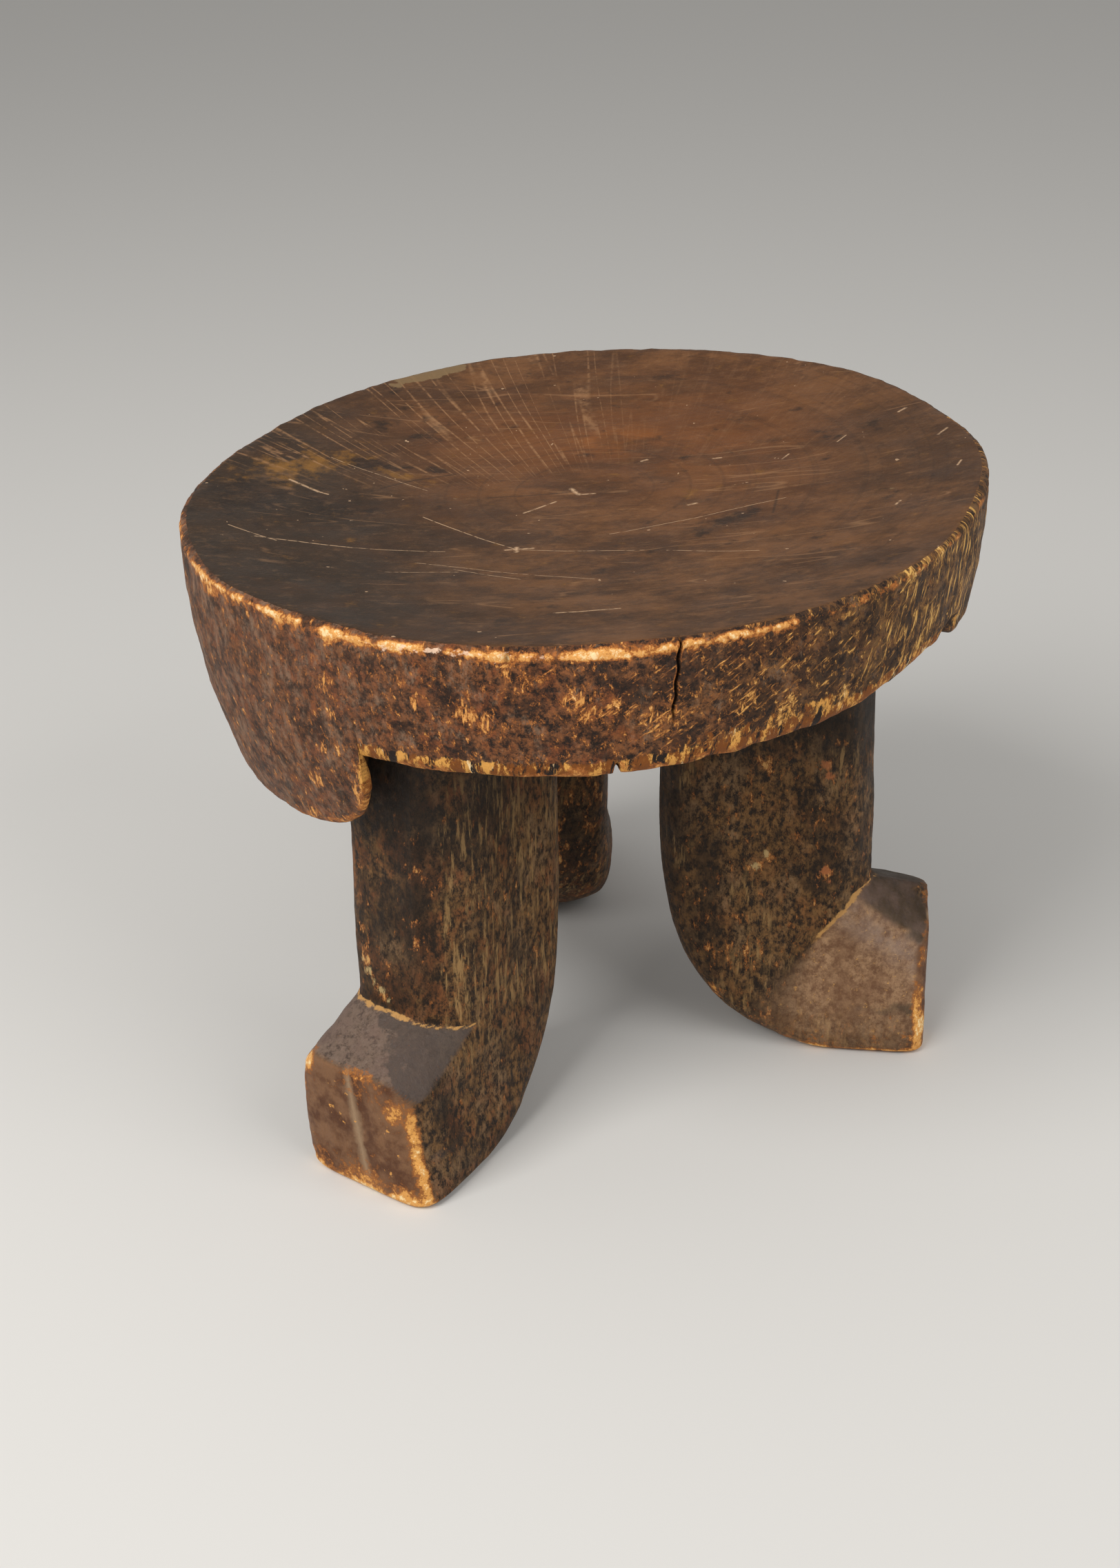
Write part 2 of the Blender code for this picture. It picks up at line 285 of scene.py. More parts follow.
def turning_tree():
    """Geometry Nodes: a grid wrapped round an axis by an outline of radius and depth."""
    tree, given, result = new_group(
        "turned blank",
        {"Columns": "Int", "Rings": "Int", "Radius": "Float", "Height": "Float", "Wood": "Material"},
        {"Geometry": "Geometry"}, "GeometryNodeTree")
    grid = add(tree, "GeometryNodeMeshGrid", {
        "Size X": 1.0, "Size Y": 1.0, "Vertices X": given["Columns"], "Vertices Y": given["Rings"]})
    place = add(tree, "ShaderNodeSeparateXYZ", {0: add(tree, "GeometryNodeInputPosition").outputs[0]})
    along = maths(tree, "ADD", place.outputs["Y"], 0.5)
    turn = maths(tree, "MULTIPLY", place.outputs["X"], -2.0 * math.pi)
    radius_curve, depth_curve = outline_curve(tree, 1), outline_curve(tree, 2)
    tree.links.new(along, radius_curve.inputs["Value"])
    tree.links.new(along, depth_curve.inputs["Value"])
    radius = maths(tree, "MULTIPLY", radius_curve.outputs[0], given["Radius"])
    depth = maths(tree, "MULTIPLY", depth_curve.outputs[0], given["Height"])
    x = maths(tree, "MULTIPLY", radius, maths(tree, "COSINE", turn))
    y = maths(tree, "MULTIPLY", radius, maths(tree, "SINE", turn))
    point = add(tree, "ShaderNodeCombineXYZ", {0: x, 1: y, 2: maths(tree, "SUBTRACT", 0.0, depth)})
    kept = add(tree, "GeometryNodeStoreNamedAttribute", {
        "Geometry": grid.outputs["Mesh"], "Name": "along_outline", "Value": along},
        data_type="FLOAT", domain="POINT")
    wrapped = add(tree, "GeometryNodeSetPosition", {
        "Geometry": kept.outputs[0], "Position": point.outputs[0]})
    closed = add(tree, "GeometryNodeMergeByDistance", {"Geometry": wrapped.outputs[0], "Distance": 0.00001})
    real = add(tree, "GeometryNodeRealizeInstances", {"Geometry": closed.outputs[0]})
    painted = add(tree, "GeometryNodeSetMaterial", {"Geometry": real.outputs[0], "Material": given["Wood"]})
    tree.links.new(painted.outputs[0], result["Geometry"])
    return tree


# %% Turn the blank and make it a plain mesh
def made_plain(name, tree, values):
    """Run a Geometry Nodes tree on an empty mesh and return the plain mesh that it makes."""
    holder = bpy.data.objects.new(name, bpy.data.meshes.new(name))
    bpy.context.scene.collection.objects.link(holder)
    modifier = holder.modifiers.new("made", "NODES")
    modifier.node_group = tree
    for socket in tree.interface.items_tree:
        if socket.in_out == "INPUT" and socket.name in values:
            modifier[socket.identifier] = values[socket.name]
    state = bpy.context.evaluated_depsgraph_get()
    mesh = bpy.data.meshes.new_from_object(holder.evaluated_get(state))
    holder.modifiers.remove(modifier)
    bpy.data.objects.remove(holder, do_unlink=True)
    return mesh


seat_wood = bpy.data.materials.new("old_seat_wood")
seat_mesh = made_plain("seat_blank", turning_tree(), {
    "Columns": SEAT_COLUMNS + 1, "Rings": SEAT_RINGS, "Radius": SEAT_RADIUS, "Height": WALL_HEIGHT,
    "Wood": seat_wood})
print("turned blank:", len(seat_mesh.vertices), "points,", len(seat_mesh.polygons), "faces")

# %% [markdown]
# ## The hand-cut plan, lower edge and tongue
# The rim isn't a true circle: it has flats and swellings of a few millimetres. The wall's lower
# edge rises on the right, where the log was thinner, and hangs down as a rounded tongue on the
# left. Rim and edge are each a short table of places round the seat, in degrees from the
# right-hand side. The tongue has a rule of its own.

# %% Tables of the hand-cut seat
RIM_SHARES = (
    (0, 1.004), (22, 0.994), (45, 1.007), (75, 0.996), (93, 1.006), (125, 1.000), (149, 0.976), (166, 0.990),
    (184, 1.005), (206, 1.000), (229, 0.983), (248, 0.994), (270, 1.002), (306, 1.016), (338, 0.996),
)
EDGE_DEPTHS = (
    (0, 49.0), (60, 49.0), (120, 49.0), (180, 49.0), (240, 49.0), (270, 49.0), (279, 48.3), (288, 47.2),
    (298, 45.3), (307, 44.0), (313, 41.6), (322, 39.6), (330, 41.6), (338, 47.6), (346, 49.0),
)
TONGUE_CENTRE = 206.8
TONGUE_HALF_ANGLE = 31.5
TONGUE_DROP = 43.5 * MM
TONGUE_BACK_RADIUS = 125.4 * MM
TONGUE_SQUARENESS = 3.0


def tongue_drop(degrees):
    """How far the tongue hangs below the wall's edge."""
    across = np.clip(np.abs(angle_between(degrees, TONGUE_CENTRE)) / TONGUE_HALF_ANGLE, 0.0, 1.0)
    return TONGUE_DROP * (1.0 - across ** TONGUE_SQUARENESS) ** (1.0 / TONGUE_SQUARENESS)


def crowded(shares, places):
    """Spread columns round the seat, closer together near the places that need fine detail."""
    degrees = np.linspace(0.0, 360.0, 7201)
    density = np.ones_like(degrees)
    for centre, spread, weight in places:
        density += weight * hump(angle_between(degrees, centre), 0.0, spread)
    total = np.concatenate(([0.0], np.cumsum(density[:-1])))
    return np.interp(shares, total / total[-1], degrees)


# Each row is a place in degrees, how wide the crowding reaches and how much closer the columns are.
CROWDED_PLACES = (
    (281.3, 1.0, 9.0), (274.0, 0.8, 4.0), (238.0, 2.5, 4.0), (175.5, 2.5, 2.5), (331.0, 4.0, 1.0),
    (255.0, 60.0, 0.6),
)
print("tongue at its middle hangs", round(float(tongue_drop(TONGUE_CENTRE)) / MM, 1), "mm below the wall")

# %% [markdown]
# ## Carving the blank
# Each stretch of the outline gets its own rule. The dish falls to its middle, the rim is rounded
# by wear, the wall tucks in like a barrel, its foot is bevelled, and behind the tongue the wood is
# cut back to the legs. Bumps follow, pushed along the surface: broad and low in the polished dish,
# choppier on the wall, with gouge flutes along the bevel.

# %% Name the seat's small sizes and read its points
CROWN_ROUND = 3.4 * MM
CROWN_WAVER = 0.9 * MM
DISH_POWER = 0.92
DISH_CURVE = 2.2
BEVEL_HEIGHT = 5.0 * MM
BEVEL_WIDTH = 2.6 * MM
BEVEL_ROUND_SHARE = 0.6
TONGUE_BEVEL_HEIGHT = 4.5 * MM
TONGUE_BEVEL_WIDTH = 4.0 * MM
TONGUE_BACK_LEAN = 1.0 * MM
TONGUE_PULL = 0.17
LIP_WIDTH = 11.0 * MM
FOOT_WIDTH = 20.0 * MM


def points_of(mesh):
    """The mesh's points as rows."""
    flat = np.empty(len(mesh.vertices) * 3)
    mesh.vertices.foreach_get("co", flat)
    return flat.reshape(-1, 3)


def move_points(mesh, points):
    """Set the mesh's points from rows."""
    mesh.vertices.foreach_set("co", points.ravel())
    mesh.update()


seat_points = points_of(seat_mesh)
along = np.empty(len(seat_points))
seat_mesh.attributes["along_outline"].data.foreach_get("value", along)
turn_share = (np.degrees(np.arctan2(seat_points[:, 1], seat_points[:, 0])) % 360.0) / 360.0
degrees = crowded(turn_share, CROWDED_PLACES)
print("each point's turn runs from", degrees.min(), "to", round(float(degrees.max()), 2), "degrees")

# %% Measure each stretch
rim_share = eased(RIM_SHARES, degrees, 360.0)
drop = tongue_drop(degrees)
on_tongue = ramp(drop, 0.0, 6.0 * MM)
edge = eased(EDGE_DEPTHS, degrees, 360.0) * MM + drop
crown = CROWN_ROUND + CROWN_WAVER * np.sin(np.radians(degrees * 7.0)) * np.sin(np.radians(degrees * 3.0))


def by_tongue(elsewhere, on_it):
    """A size on the plain wall, eased to another on the tongue."""
    return elsewhere * (1.0 - on_tongue) + on_it * on_tongue


dish = way_through(along, 0.0, DISH_END)
around_crown = way_through(along, DISH_END, CROWN_END) * math.pi / 2.0
down_wall = way_through(along, CROWN_END, WALL_END)
over_band = way_through(along, WALL_END, BAND_END)
up_back = way_through(along, BAND_END, BACK_END)
under = way_through(along, BACK_END, 1.0)
bevel_height = by_tongue(BEVEL_HEIGHT, TONGUE_BEVEL_HEIGHT)
bevel_width = by_tongue(BEVEL_WIDTH, TONGUE_BEVEL_WIDTH)
wall_foot = wall_radius(edge) * rim_share
inner_lip = by_tongue(wall_foot - LIP_WIDTH, TONGUE_BACK_RADIUS)
inner_foot = by_tongue(wall_foot - FOOT_WIDTH, TONGUE_BACK_RADIUS - TONGUE_BACK_LEAN)
rim_radius = SEAT_RADIUS * rim_share
wall_depth = crown + (edge - bevel_height - crown) * down_wall
band_turn = way_through(over_band, 0.0, BEVEL_ROUND_SHARE) * math.pi / 2.0
flat_share = way_through(over_band, BEVEL_ROUND_SHARE, 1.0)
band_depth = edge - bevel_height * (1.0 - np.sin(band_turn))
band_radius = wall_radius(band_depth) * rim_share - bevel_width * (1.0 - np.cos(band_turn))
print("wall's lower edge lies", np.round(np.array([edge.min(), edge.max()]) / MM, 1), "mm below the rim")

# %% Shape each stretch
in_crown, in_wall, in_band = along > DISH_END, along > CROWN_END, along > WALL_END
in_back, in_under = along > BAND_END, along > BACK_END
# Each row holds the points past the start of a stretch, their radius and their depth below the rim
# plane, and overrules the rows before it.
STRETCHES = (
    (in_crown, rim_radius - crown + crown * np.sin(around_crown), crown * (1.0 - np.cos(around_crown))),
    (in_wall, wall_radius(wall_depth) * rim_share, wall_depth),
    (in_band, band_radius + (inner_lip - band_radius) * flat_share, band_depth),
    (in_back, inner_lip + (inner_foot - inner_lip) * up_back, edge + (WALL_HEIGHT - edge) * up_back),
    (in_under, inner_foot * (1.0 - under), WALL_HEIGHT),
)
radius = (rim_radius - crown) * dish ** DISH_POWER
depth = DISH_DEPTH * (1.0 - dish ** (DISH_POWER * DISH_CURVE))
for held, stretch_radius, stretch_depth in STRETCHES:
    radius = np.where(held, stretch_radius, radius)
    depth = np.where(held, stretch_depth, depth)

from_tongue = angle_between(degrees, TONGUE_CENTRE)
pulled_in = TONGUE_PULL * from_tongue * (1.0 - ramp(np.abs(from_tongue), 32.0, 52.0))
backness = np.where(in_back, 1.0 - ramp(under, 0.0, 0.5), ramp(flat_share, 0.0, 1.0))
place = np.radians(degrees - pulled_in * backness)
x, y = radius * np.cos(place), radius * np.sin(place)
seat_points = np.stack([x, y, rim_plane(x, y) - depth], 1)
move_points(seat_mesh, seat_points)
print("seat spans", np.round((seat_points.max(0) - seat_points.min(0)) / MM, 1), "mm")


# %% Find the places of cracks and chips
# A slit has a place in degrees, a lean in degrees a metre, a waver in degrees and a half width in mm.
CRACK_SLIT = (281.6, -27.0, 0.12, 0.42)
SPLIT_SLIT = (260.3, 60.0, 0.0, 0.6)
# A cut has a place in degrees, a depth below the rim, a width and a height in mm.
NOTCH_PLACE = (274.0, 47.5, 0.9, 3.4)
HOLLOW_PLACE = (331.0, 39.5, 8.0, 4.5)


def near(centre_degrees, centre_depth, width, height):
    """1 at a place on the wall, and about a third of that a width or a height away, in mm."""
    sideways = np.radians(angle_between(degrees, centre_degrees)) * radius / (width * MM)
    downwards = (depth - centre_depth * MM) / (height * MM)
    return np.exp(-(sideways ** 2 + downwards ** 2) ** 1.5)


def slit(start, lean, waver, half_width):
    """1 along a slit down the wall, from a place in degrees, leaning by degrees a metre."""
    path = start + lean * depth + waver * np.sin(depth / MM * 0.7)
    return hump(np.radians(angle_between(degrees, path)) * radius, 0.0, half_width * MM)


on_dish = 1.0 - ramp(along, DISH_END - 0.01, DISH_END + 0.02)
on_wall = within(along, CROWN_END - 0.02, CROWN_END + 0.02, BAND_END - 0.02, BAND_END)
on_crown = within(along, DISH_END - 0.015, DISH_END + 0.01, CROWN_END, CROWN_END + 0.02)
on_bevel = within(along, WALL_END - 0.03, WALL_END, BAND_END - 0.03, BAND_END) * (1.0 - on_tongue)
on_bevel *= 1.0 - 0.6 * ramp(degrees, 322.0, 330.0)
crack = slit(*CRACK_SLIT) * within(depth, -0.2 * MM, 0.8 * MM, 24 * MM, 33 * MM)
crack *= in_crown & (along < BAND_END)
split = slit(*SPLIT_SLIT) * (1.0 - ramp(depth, 4 * MM, 7 * MM)) * (in_crown & (along < WALL_END))
notch = near(*NOTCH_PLACE) * in_crown
hollow = near(*HOLLOW_PLACE) * in_wall
print("points in the crack:", int((crack > 0.5).sum()), "and in the hollow:", int((hollow > 0.5).sum()))


# %% Push in the tool marks, cracks and chips
CRACK_CUT = 2.6 * MM
SPLIT_CUT = 0.7 * MM
NOTCH_CUT = 3.0 * MM
HOLLOW_CUT = 4.0 * MM
DISH_BUMP = 0.35 * MM
FLUTE_CUT = 0.45 * MM


def normals_of(mesh):
    """The mesh's point normals as rows."""
    flat = np.empty(len(mesh.vertices) * 3)
    mesh.vertex_normals.foreach_get("vector", flat)
    return flat.reshape(-1, 3)


broad = bumps(seat_points, 26 * MM, seed=3.1)
choppy = bumps(seat_points, 9 * MM, (1.0, 1.0, 1.5), seed=7.7, octaves=3)
fine = bumps(seat_points, 3.2 * MM, seed=1.3, octaves=2)
flutes = np.abs(np.sin(np.radians(degrees * 23.0) + 1.5 * np.sin(np.radians(degrees * 5.0)))) ** 3.0
push = DISH_BUMP * broad * on_dish
push += (0.50 * broad + 0.34 * choppy + 0.16 * fine - 0.50) * MM * on_wall
push += (0.35 * choppy - 0.35 * np.clip(fine, 0.0, None) - 0.25) * MM * on_crown
push -= FLUTE_CUT * flutes * on_bevel
push += (0.9 * broad + 0.3 * choppy) * MM * in_under
push -= CRACK_CUT * crack + SPLIT_CUT * split + NOTCH_CUT * notch + HOLLOW_CUT * hollow
seat_points = seat_points + normals_of(seat_mesh) * push[:, None]
move_points(seat_mesh, seat_points)
print("deepest cut", round(float(-push.min()) / MM, 2), "mm, highest bump", round(float(push.max()) / MM, 2))

# %% [markdown]
# ## Reading where the wood is rubbed
# Hands and floors rub what stands out. Smoothing the mesh a little and seeing which way each point
# moves tells edges from hollows: a point that sinks stood proud. The measure is kept as an
# attribute, and the materials turn it golden. Other attributes say where the dish, the bevel and
# the cracks are, and where the dark crust has flaked off, so no picture is needed.

# %% Measure what stands proud
def standing_proud(mesh, passes):
    """How far each point stands above its smoothed surroundings, in metres."""
    points = points_of(mesh)
    edges = np.empty(len(mesh.edges) * 2, np.int64)
    mesh.edges.foreach_get("vertices", edges)
    a, b = edges.reshape(-1, 2).T
    count = np.bincount(a, minlength=len(points)) + np.bincount(b, minlength=len(points))
    smooth = points.copy()
    for _ in range(passes):
        total = np.zeros_like(smooth)
        for axis in range(3):
            total[:, axis] = (np.bincount(a, smooth[b, axis], len(points))
                              + np.bincount(b, smooth[a, axis], len(points)))
        smooth = total / count[:, None]
    return np.einsum("ij,ij->i", points - smooth, normals_of(mesh))


def keep_all(mesh, measures):
    """Keep named values, one for each point, as attributes."""
    for name, values in measures.items():
        store = mesh.attributes.new(name, "FLOAT", "POINT")
        store.data.foreach_set("value", np.clip(values, 0.0, 1.0).astype(np.float32))


proud = standing_proud(seat_mesh, 12)
print("sharpest point of the seat stands", round(float(proud.max()) / MM, 2), "mm proud")

# %% Where the wall's crust has flaked
# Each row is a place round the wall in degrees, a depth below the rim, a width and a height in mm,
# and how far it has flaked.
FLAKES = (
    (262.4, 12, 5, 4, 0.8), (255.0, 23, 4, 6, 1.0), (257.4, 28, 3.5, 5, 1.0), (268.8, 18, 5, 5, 0.9),
    (270.4, 23, 5, 4, 0.9), (260.3, 4, 2, 6, 1.0), (273.6, 22, 5, 5, 0.6), (279.4, 28, 7, 6, 0.8),
    (247.8, 22, 2.5, 3, 0.9), (245.9, 16, 4, 4, 0.6), (234.1, 20.5, 4, 2.2, 1.0), (234.0, 25, 4, 2.2, 0.9),
    (234.2, 33, 3, 4, 0.7), (231.5, 49.5, 4, 3, 0.9), (234.3, 48.3, 3, 3, 0.8), (227.8, 66, 5, 4, 1.0),
    (236.6, 66, 3, 10, 1.0), (236.4, 57, 3, 6, 0.7), (224.5, 83.6, 5, 3, 0.9), (219.7, 48, 5, 9, 0.35),
    (315.6, 3.5, 4, 6, 1.0), (323.4, 1.5, 4, 4, 1.0), (319.9, 32, 3, 6, 1.0), (316.0, 35.6, 3, 4, 1.0),
    (313.7, 37, 3, 3, 1.0), (304.6, 37, 3, 5, 1.0), (295.2, 37, 4, 5, 0.9), (296.1, 31, 4, 5, 0.9),
    (289.8, 26, 5, 6, 0.7), (333.0, 28, 4, 12, 0.5), (20.0, 30, 8, 8, 0.7), (75.0, 20, 9, 7, 0.6),
    (130.0, 35, 8, 8, 0.8), (160.0, 15, 7, 6, 0.6), (190.0, 40, 6, 9, 0.6),
)
flaked = np.maximum.reduce([row[-1] * near(*row[:-1]) for row in FLAKES])
print("flaked share of the wall:", round(float((flaked[on_wall > 0.5] > 0.3).mean()), 3))

# %% Where the rim, bevel and tongue are rubbed
right_of_crack = within(degrees, 278.0, 284.0, 298.0, 316.0)
frontness = ramp(-np.sin(np.radians(degrees)), -0.25, 0.5)
rim_line = hump(along, CROWN_END - 0.014, 0.027) * (0.40 + 0.55 * frontness)
tongue_end = hump(angle_between(degrees, 238.6), 0.0, 1.3) * ramp(depth, 47 * MM, 52 * MM) * on_wall
tongue_edge = hump(along, WALL_END + 0.02, 0.02) * on_tongue
broad_band = 0.62 * ramp(along, WALL_END - 0.07, WALL_END - 0.04) * on_wall * right_of_crack
keep_all(seat_mesh, {
    "dish": on_dish,
    "rub": rim_line * (1.0 - 0.45 * ramp(degrees, 284.0, 310.0))
           + 0.5 * ramp(proud, 0.12 * MM, 0.5 * MM) * on_wall,
    # A painted highlight on the front left of the rim:
    "rim_highlight": rim_line * hump(angle_between(degrees, 252.0), 0.0, 17.0),
    "band": np.maximum(on_bevel, broad_band) + 0.15 * tongue_edge + tongue_end,
    "flaked": flaked + 0.45 * tongue_edge * ramp(degrees, 214.0, 226.0),
    # The cracks, split, notch and chip are painted black later, as painted shade in them.
    "hollow": np.maximum.reduce([crack, 0.7 * split, notch, 0.75 * hollow]),
    "under": ramp(along, BAND_END - 0.02, BAND_END + 0.01),
})
print("rubbed rim and bevel hold", int((rim_line + on_bevel > 0.5).sum()), "points")


# %% Where the dish is warm, where its reflections are painted, and where it is marked
def spot(centre_x, centre_y, size_x, size_y, turn=0.0):
    """1 at a place in the dish, and about a third of that a size away along and across a turn."""
    dx, dy = seat_points[:, 0] / MM - centre_x, seat_points[:, 1] / MM - centre_y
    c, s = math.cos(math.radians(turn)), math.sin(math.radians(turn))
    return np.exp(-(((dx * c + dy * s) / size_x) ** 2 + ((dy * c - dx * s) / size_y) ** 2))


RAY_CENTRE = (14.0 * MM, -56.0 * MM, 0.0)
seat_x, seat_y = seat_points[:, 0], seat_points[:, 1]
from_rays = np.hypot(seat_x - RAY_CENTRE[0], seat_y - RAY_CENTRE[1])
keep_all(seat_mesh, {
    # This mask is red-brown wood behind the pith with a painted warm reflection over it.
    "warm_wood_and_reflection": spot(10, 72, 75, 52) + 0.5 * spot(70, 20, 60, 70) + 0.25 * spot(-70, 60, 50, 40),
    "orange": 0.9 * spot(14, 62, 26, 12) + 0.35 * spot(-52, 10, 20, 22) + 0.3 * spot(60, 40, 26, 16),
    "ochre": spot(-111, 38, 30, 13, 31) + 0.8 * spot(-70, 33, 14, 4, -38),
    "dark": 1.3 * spot(-88, 49, 13, 5, -22) + 0.4 * spot(-72, 88, 34, 20, -40)
            + 0.6 * spot(56, -26, 18, 12) + 0.75 * spot(-128, 12, 32, 26)
            + 0.5 * spot(104, 42, 20, 9, 10) + 0.5 * spot(-58, 40, 12, 3, -10),
    # This mask is a painted dim reflection at the left, at the front and at one place on the right.
    "dim_reflection": ramp(-seat_x - 0.50 * np.clip(seat_y, 0.0, None), 0.0, 100 * MM)
            + 0.22 * ramp(-seat_y, 40 * MM, 130 * MM) + 0.45 * spot(122, 20, 34, 60),
    "rays": ramp(seat_y + 0.1 * seat_x, 5 * MM, 40 * MM) * ramp(from_rays, 84 * MM, 104 * MM)
            * (1.0 - 0.85 * ramp(seat_x, -15 * MM, 30 * MM)),
    "back_chip": np.exp(-(angle_between(degrees, 117.0) / 7.5) ** 4)
                 * within(along, DISH_END - 0.026, DISH_END - 0.012, CROWN_END, CROWN_END + 0.02),
})
print("attributes:", sorted(item.name for item in seat_mesh.attributes if item.domain == "POINT"))

# %% [markdown]
# ## The legs
# Each leg is a blade seen from above, longer out from the middle than it is wide. Its inner side
# sweeps outwards to the sole in a hollow curve, and its outer side stands straight down to a
# crease, below which the foot reaches out. The foot's top is a few adze facets, each a plane. At
# every height the reach outwards is the larger of the shaft's and the smallest of the facets', so
# the crease and ridges come out where planes meet.

# %% Facets and widths of each foot
# A facet is a plane through (out, across, up) with its fall outwards and its rise across, in mm.
# Widths and corners are pairs of height and value, on the side that the number before them names.
# One corner of the shaft is rounded off: its side, where it starts across and how far it falls back.
FRONT_FOOT = {
    "end": 149.2,
    "facets": (
        (124.0, 0.0, 67.5, 0.62, 0.0), (109.6, 25.5, 60.4, 0.44, -0.85), (124.0, -28.0, 64.0, 0.62, 0.9),
    ),
    "width": {
        1: ((0, 30.0), (3, 31.4), (8, 31.2), (15, 29.8), (25, 27.4), (40, 25.6), (60, 25.0), (130, 26.2),
            (195, 27.3)),
        -1: ((0, 28.8), (3, 31.2), (8, 33.2), (15, 34.2), (25, 35.0), (38, 35.0), (44, 34.0), (52, 29.8),
             (58, 26.8), (66, 25.2), (130, 26.0), (195, 27.3)),
    },
    "corner": {1: ((0, 7.0), (55, 7.0), (195, 7.0)), -1: ((0, 7.0), (50, 7.0), (70, 5.0), (195, 5.0))},
    "shaft_corner": (1, 10.0, 15.7),
    "crease_end": 106.0,
    "hollow_side": 0,
}
RIGHT_FOOT = {
    "end": 149.6,
    "facets": (
        (125.0, 0.0, 72.5, 0.36, 0.0), (117.0, -24.5, 70.0, 0.85, 0.79), (125.0, -11.5, 73.5, 0.20, -0.40),
    ),
    "width": {
        1: ((0, 26.5), (3, 28.5), (13, 31.5), (30, 33.5), (42, 33.0), (52, 28.5), (62, 25.6), (130, 26.0),
            (195, 27.3)),
        -1: ((0, 30.4), (3, 31.8), (8, 31.8), (15, 30.5), (25, 28.2), (35, 26.4), (45, 25.2), (60, 25.0),
             (130, 26.0), (195, 27.3)),
    },
    "corner": {1: ((0, 8.0), (50, 7.0), (70, 5.0), (195, 5.0)), -1: ((0, 8.0), (50, 8.0), (195, 8.0))},
    "shaft_corner": (-1, 8.0, 9.0),
    "crease_end": 116.0,
    "hollow_side": -1,
}
# Each leg has a name, its direction in degrees, how much farther out it stands, and a foot.
LEGS = (
    ("front", 235.0, -0.4, FRONT_FOOT),
    ("right", -3.7, -8.1, RIGHT_FOOT),
    ("back", 101.5, 0.0, FRONT_FOOT),
)
print("legs stand at", [row[1] for row in LEGS], "degrees")

# %% Name the sizes that the legs share, in mm
SHAFT_REACH = 125.3
SHAFT_TAPER = 4.1
SHAFT_TOP = 191.6
CREASE = 66.0
CORNER_END = 25.5
INNER_REACH = 38.8
INNER_WIDTH = 22.1
INNER_WIDTH_LOW = 26.0
HEEL_SWEEP = 75.0
HEEL_RISE = 100.0
HEEL_POWER = 0.48
CREASE_SIDE_TOP = 72.0
CREASE_SIDE_OUT = 102.0
CREASE_SIDE_HEIGHT = 50.0
CREASE_SIDE_SLOPE = 0.75
FAR_FROM_CREASE = -50.0
SOLE_ROUND = 2.6
TOP_FLARE = 5.0
FLARE_SHARE = 0.07
TOP_SINK = 0.9
FACET_BLEND = 0.9
END_BLEND = 0.7
CREASE_BLEND = 0.8
print("heel sweeps from", INNER_REACH, "to", INNER_REACH + HEEL_SWEEP, "mm out")


# %% One level of a leg
LEVEL_SAMPLES = 2400


def soft_least(values, blend):
    """The least of several arrays, with the corner between them rounded over blend."""
    stack = np.stack(values)
    low = stack.min(0)
    return low - blend * np.log(np.exp(-(stack - low) / blend).sum(0))


def reach_out(foot, across, height):
    """How far out a leg reaches, how near the toe is to its end, and the toe's lead on the shaft."""
    shaft = SHAFT_REACH - SHAFT_TAPER * way_through(height, CREASE, SHAFT_TOP)
    corner_side, corner_start, corner_fall = foot["shaft_corner"]
    past_corner = (across * corner_side - corner_start) / (CORNER_END - corner_start)
    shaft = shaft - corner_fall * np.clip(past_corner, 0.0, 1.2) ** 1.2
    limits = [out + (up + rise * (across - side) - height) / fall
              for out, side, up, fall, rise in foot["facets"]]
    toe = soft_least([soft_least(limits, FACET_BLEND), np.full_like(across, foot["end"])], END_BLEND)
    return -soft_least([-toe, -shaft], CREASE_BLEND), toe - foot["end"], toe - shaft


def blade_shape(foot, height):
    """A level's unit shape: which side, how far along and sideways from -1 to 1, and its width."""
    turn = np.linspace(-math.pi / 4.0, math.pi * 7.0 / 4.0, LEVEL_SAMPLES + 1)[:-1]
    cosine, sine = np.cos(turn), np.sin(turn)
    side = np.where(sine > 0.0, 1, -1)
    width, power = (np.where(side > 0, eased(foot[key][1], height), eased(foot[key][-1], height))
                    for key in ("width", "corner"))
    power = np.where(cosine > 0.0, power, 3.0 + min(height / CREASE, 1.0))
    along = np.sign(cosine) * np.abs(cosine) ** (2.0 / power)
    sideways = np.sign(sine) * np.abs(sine) ** (2.0 / power)
    return side, along, sideways, width


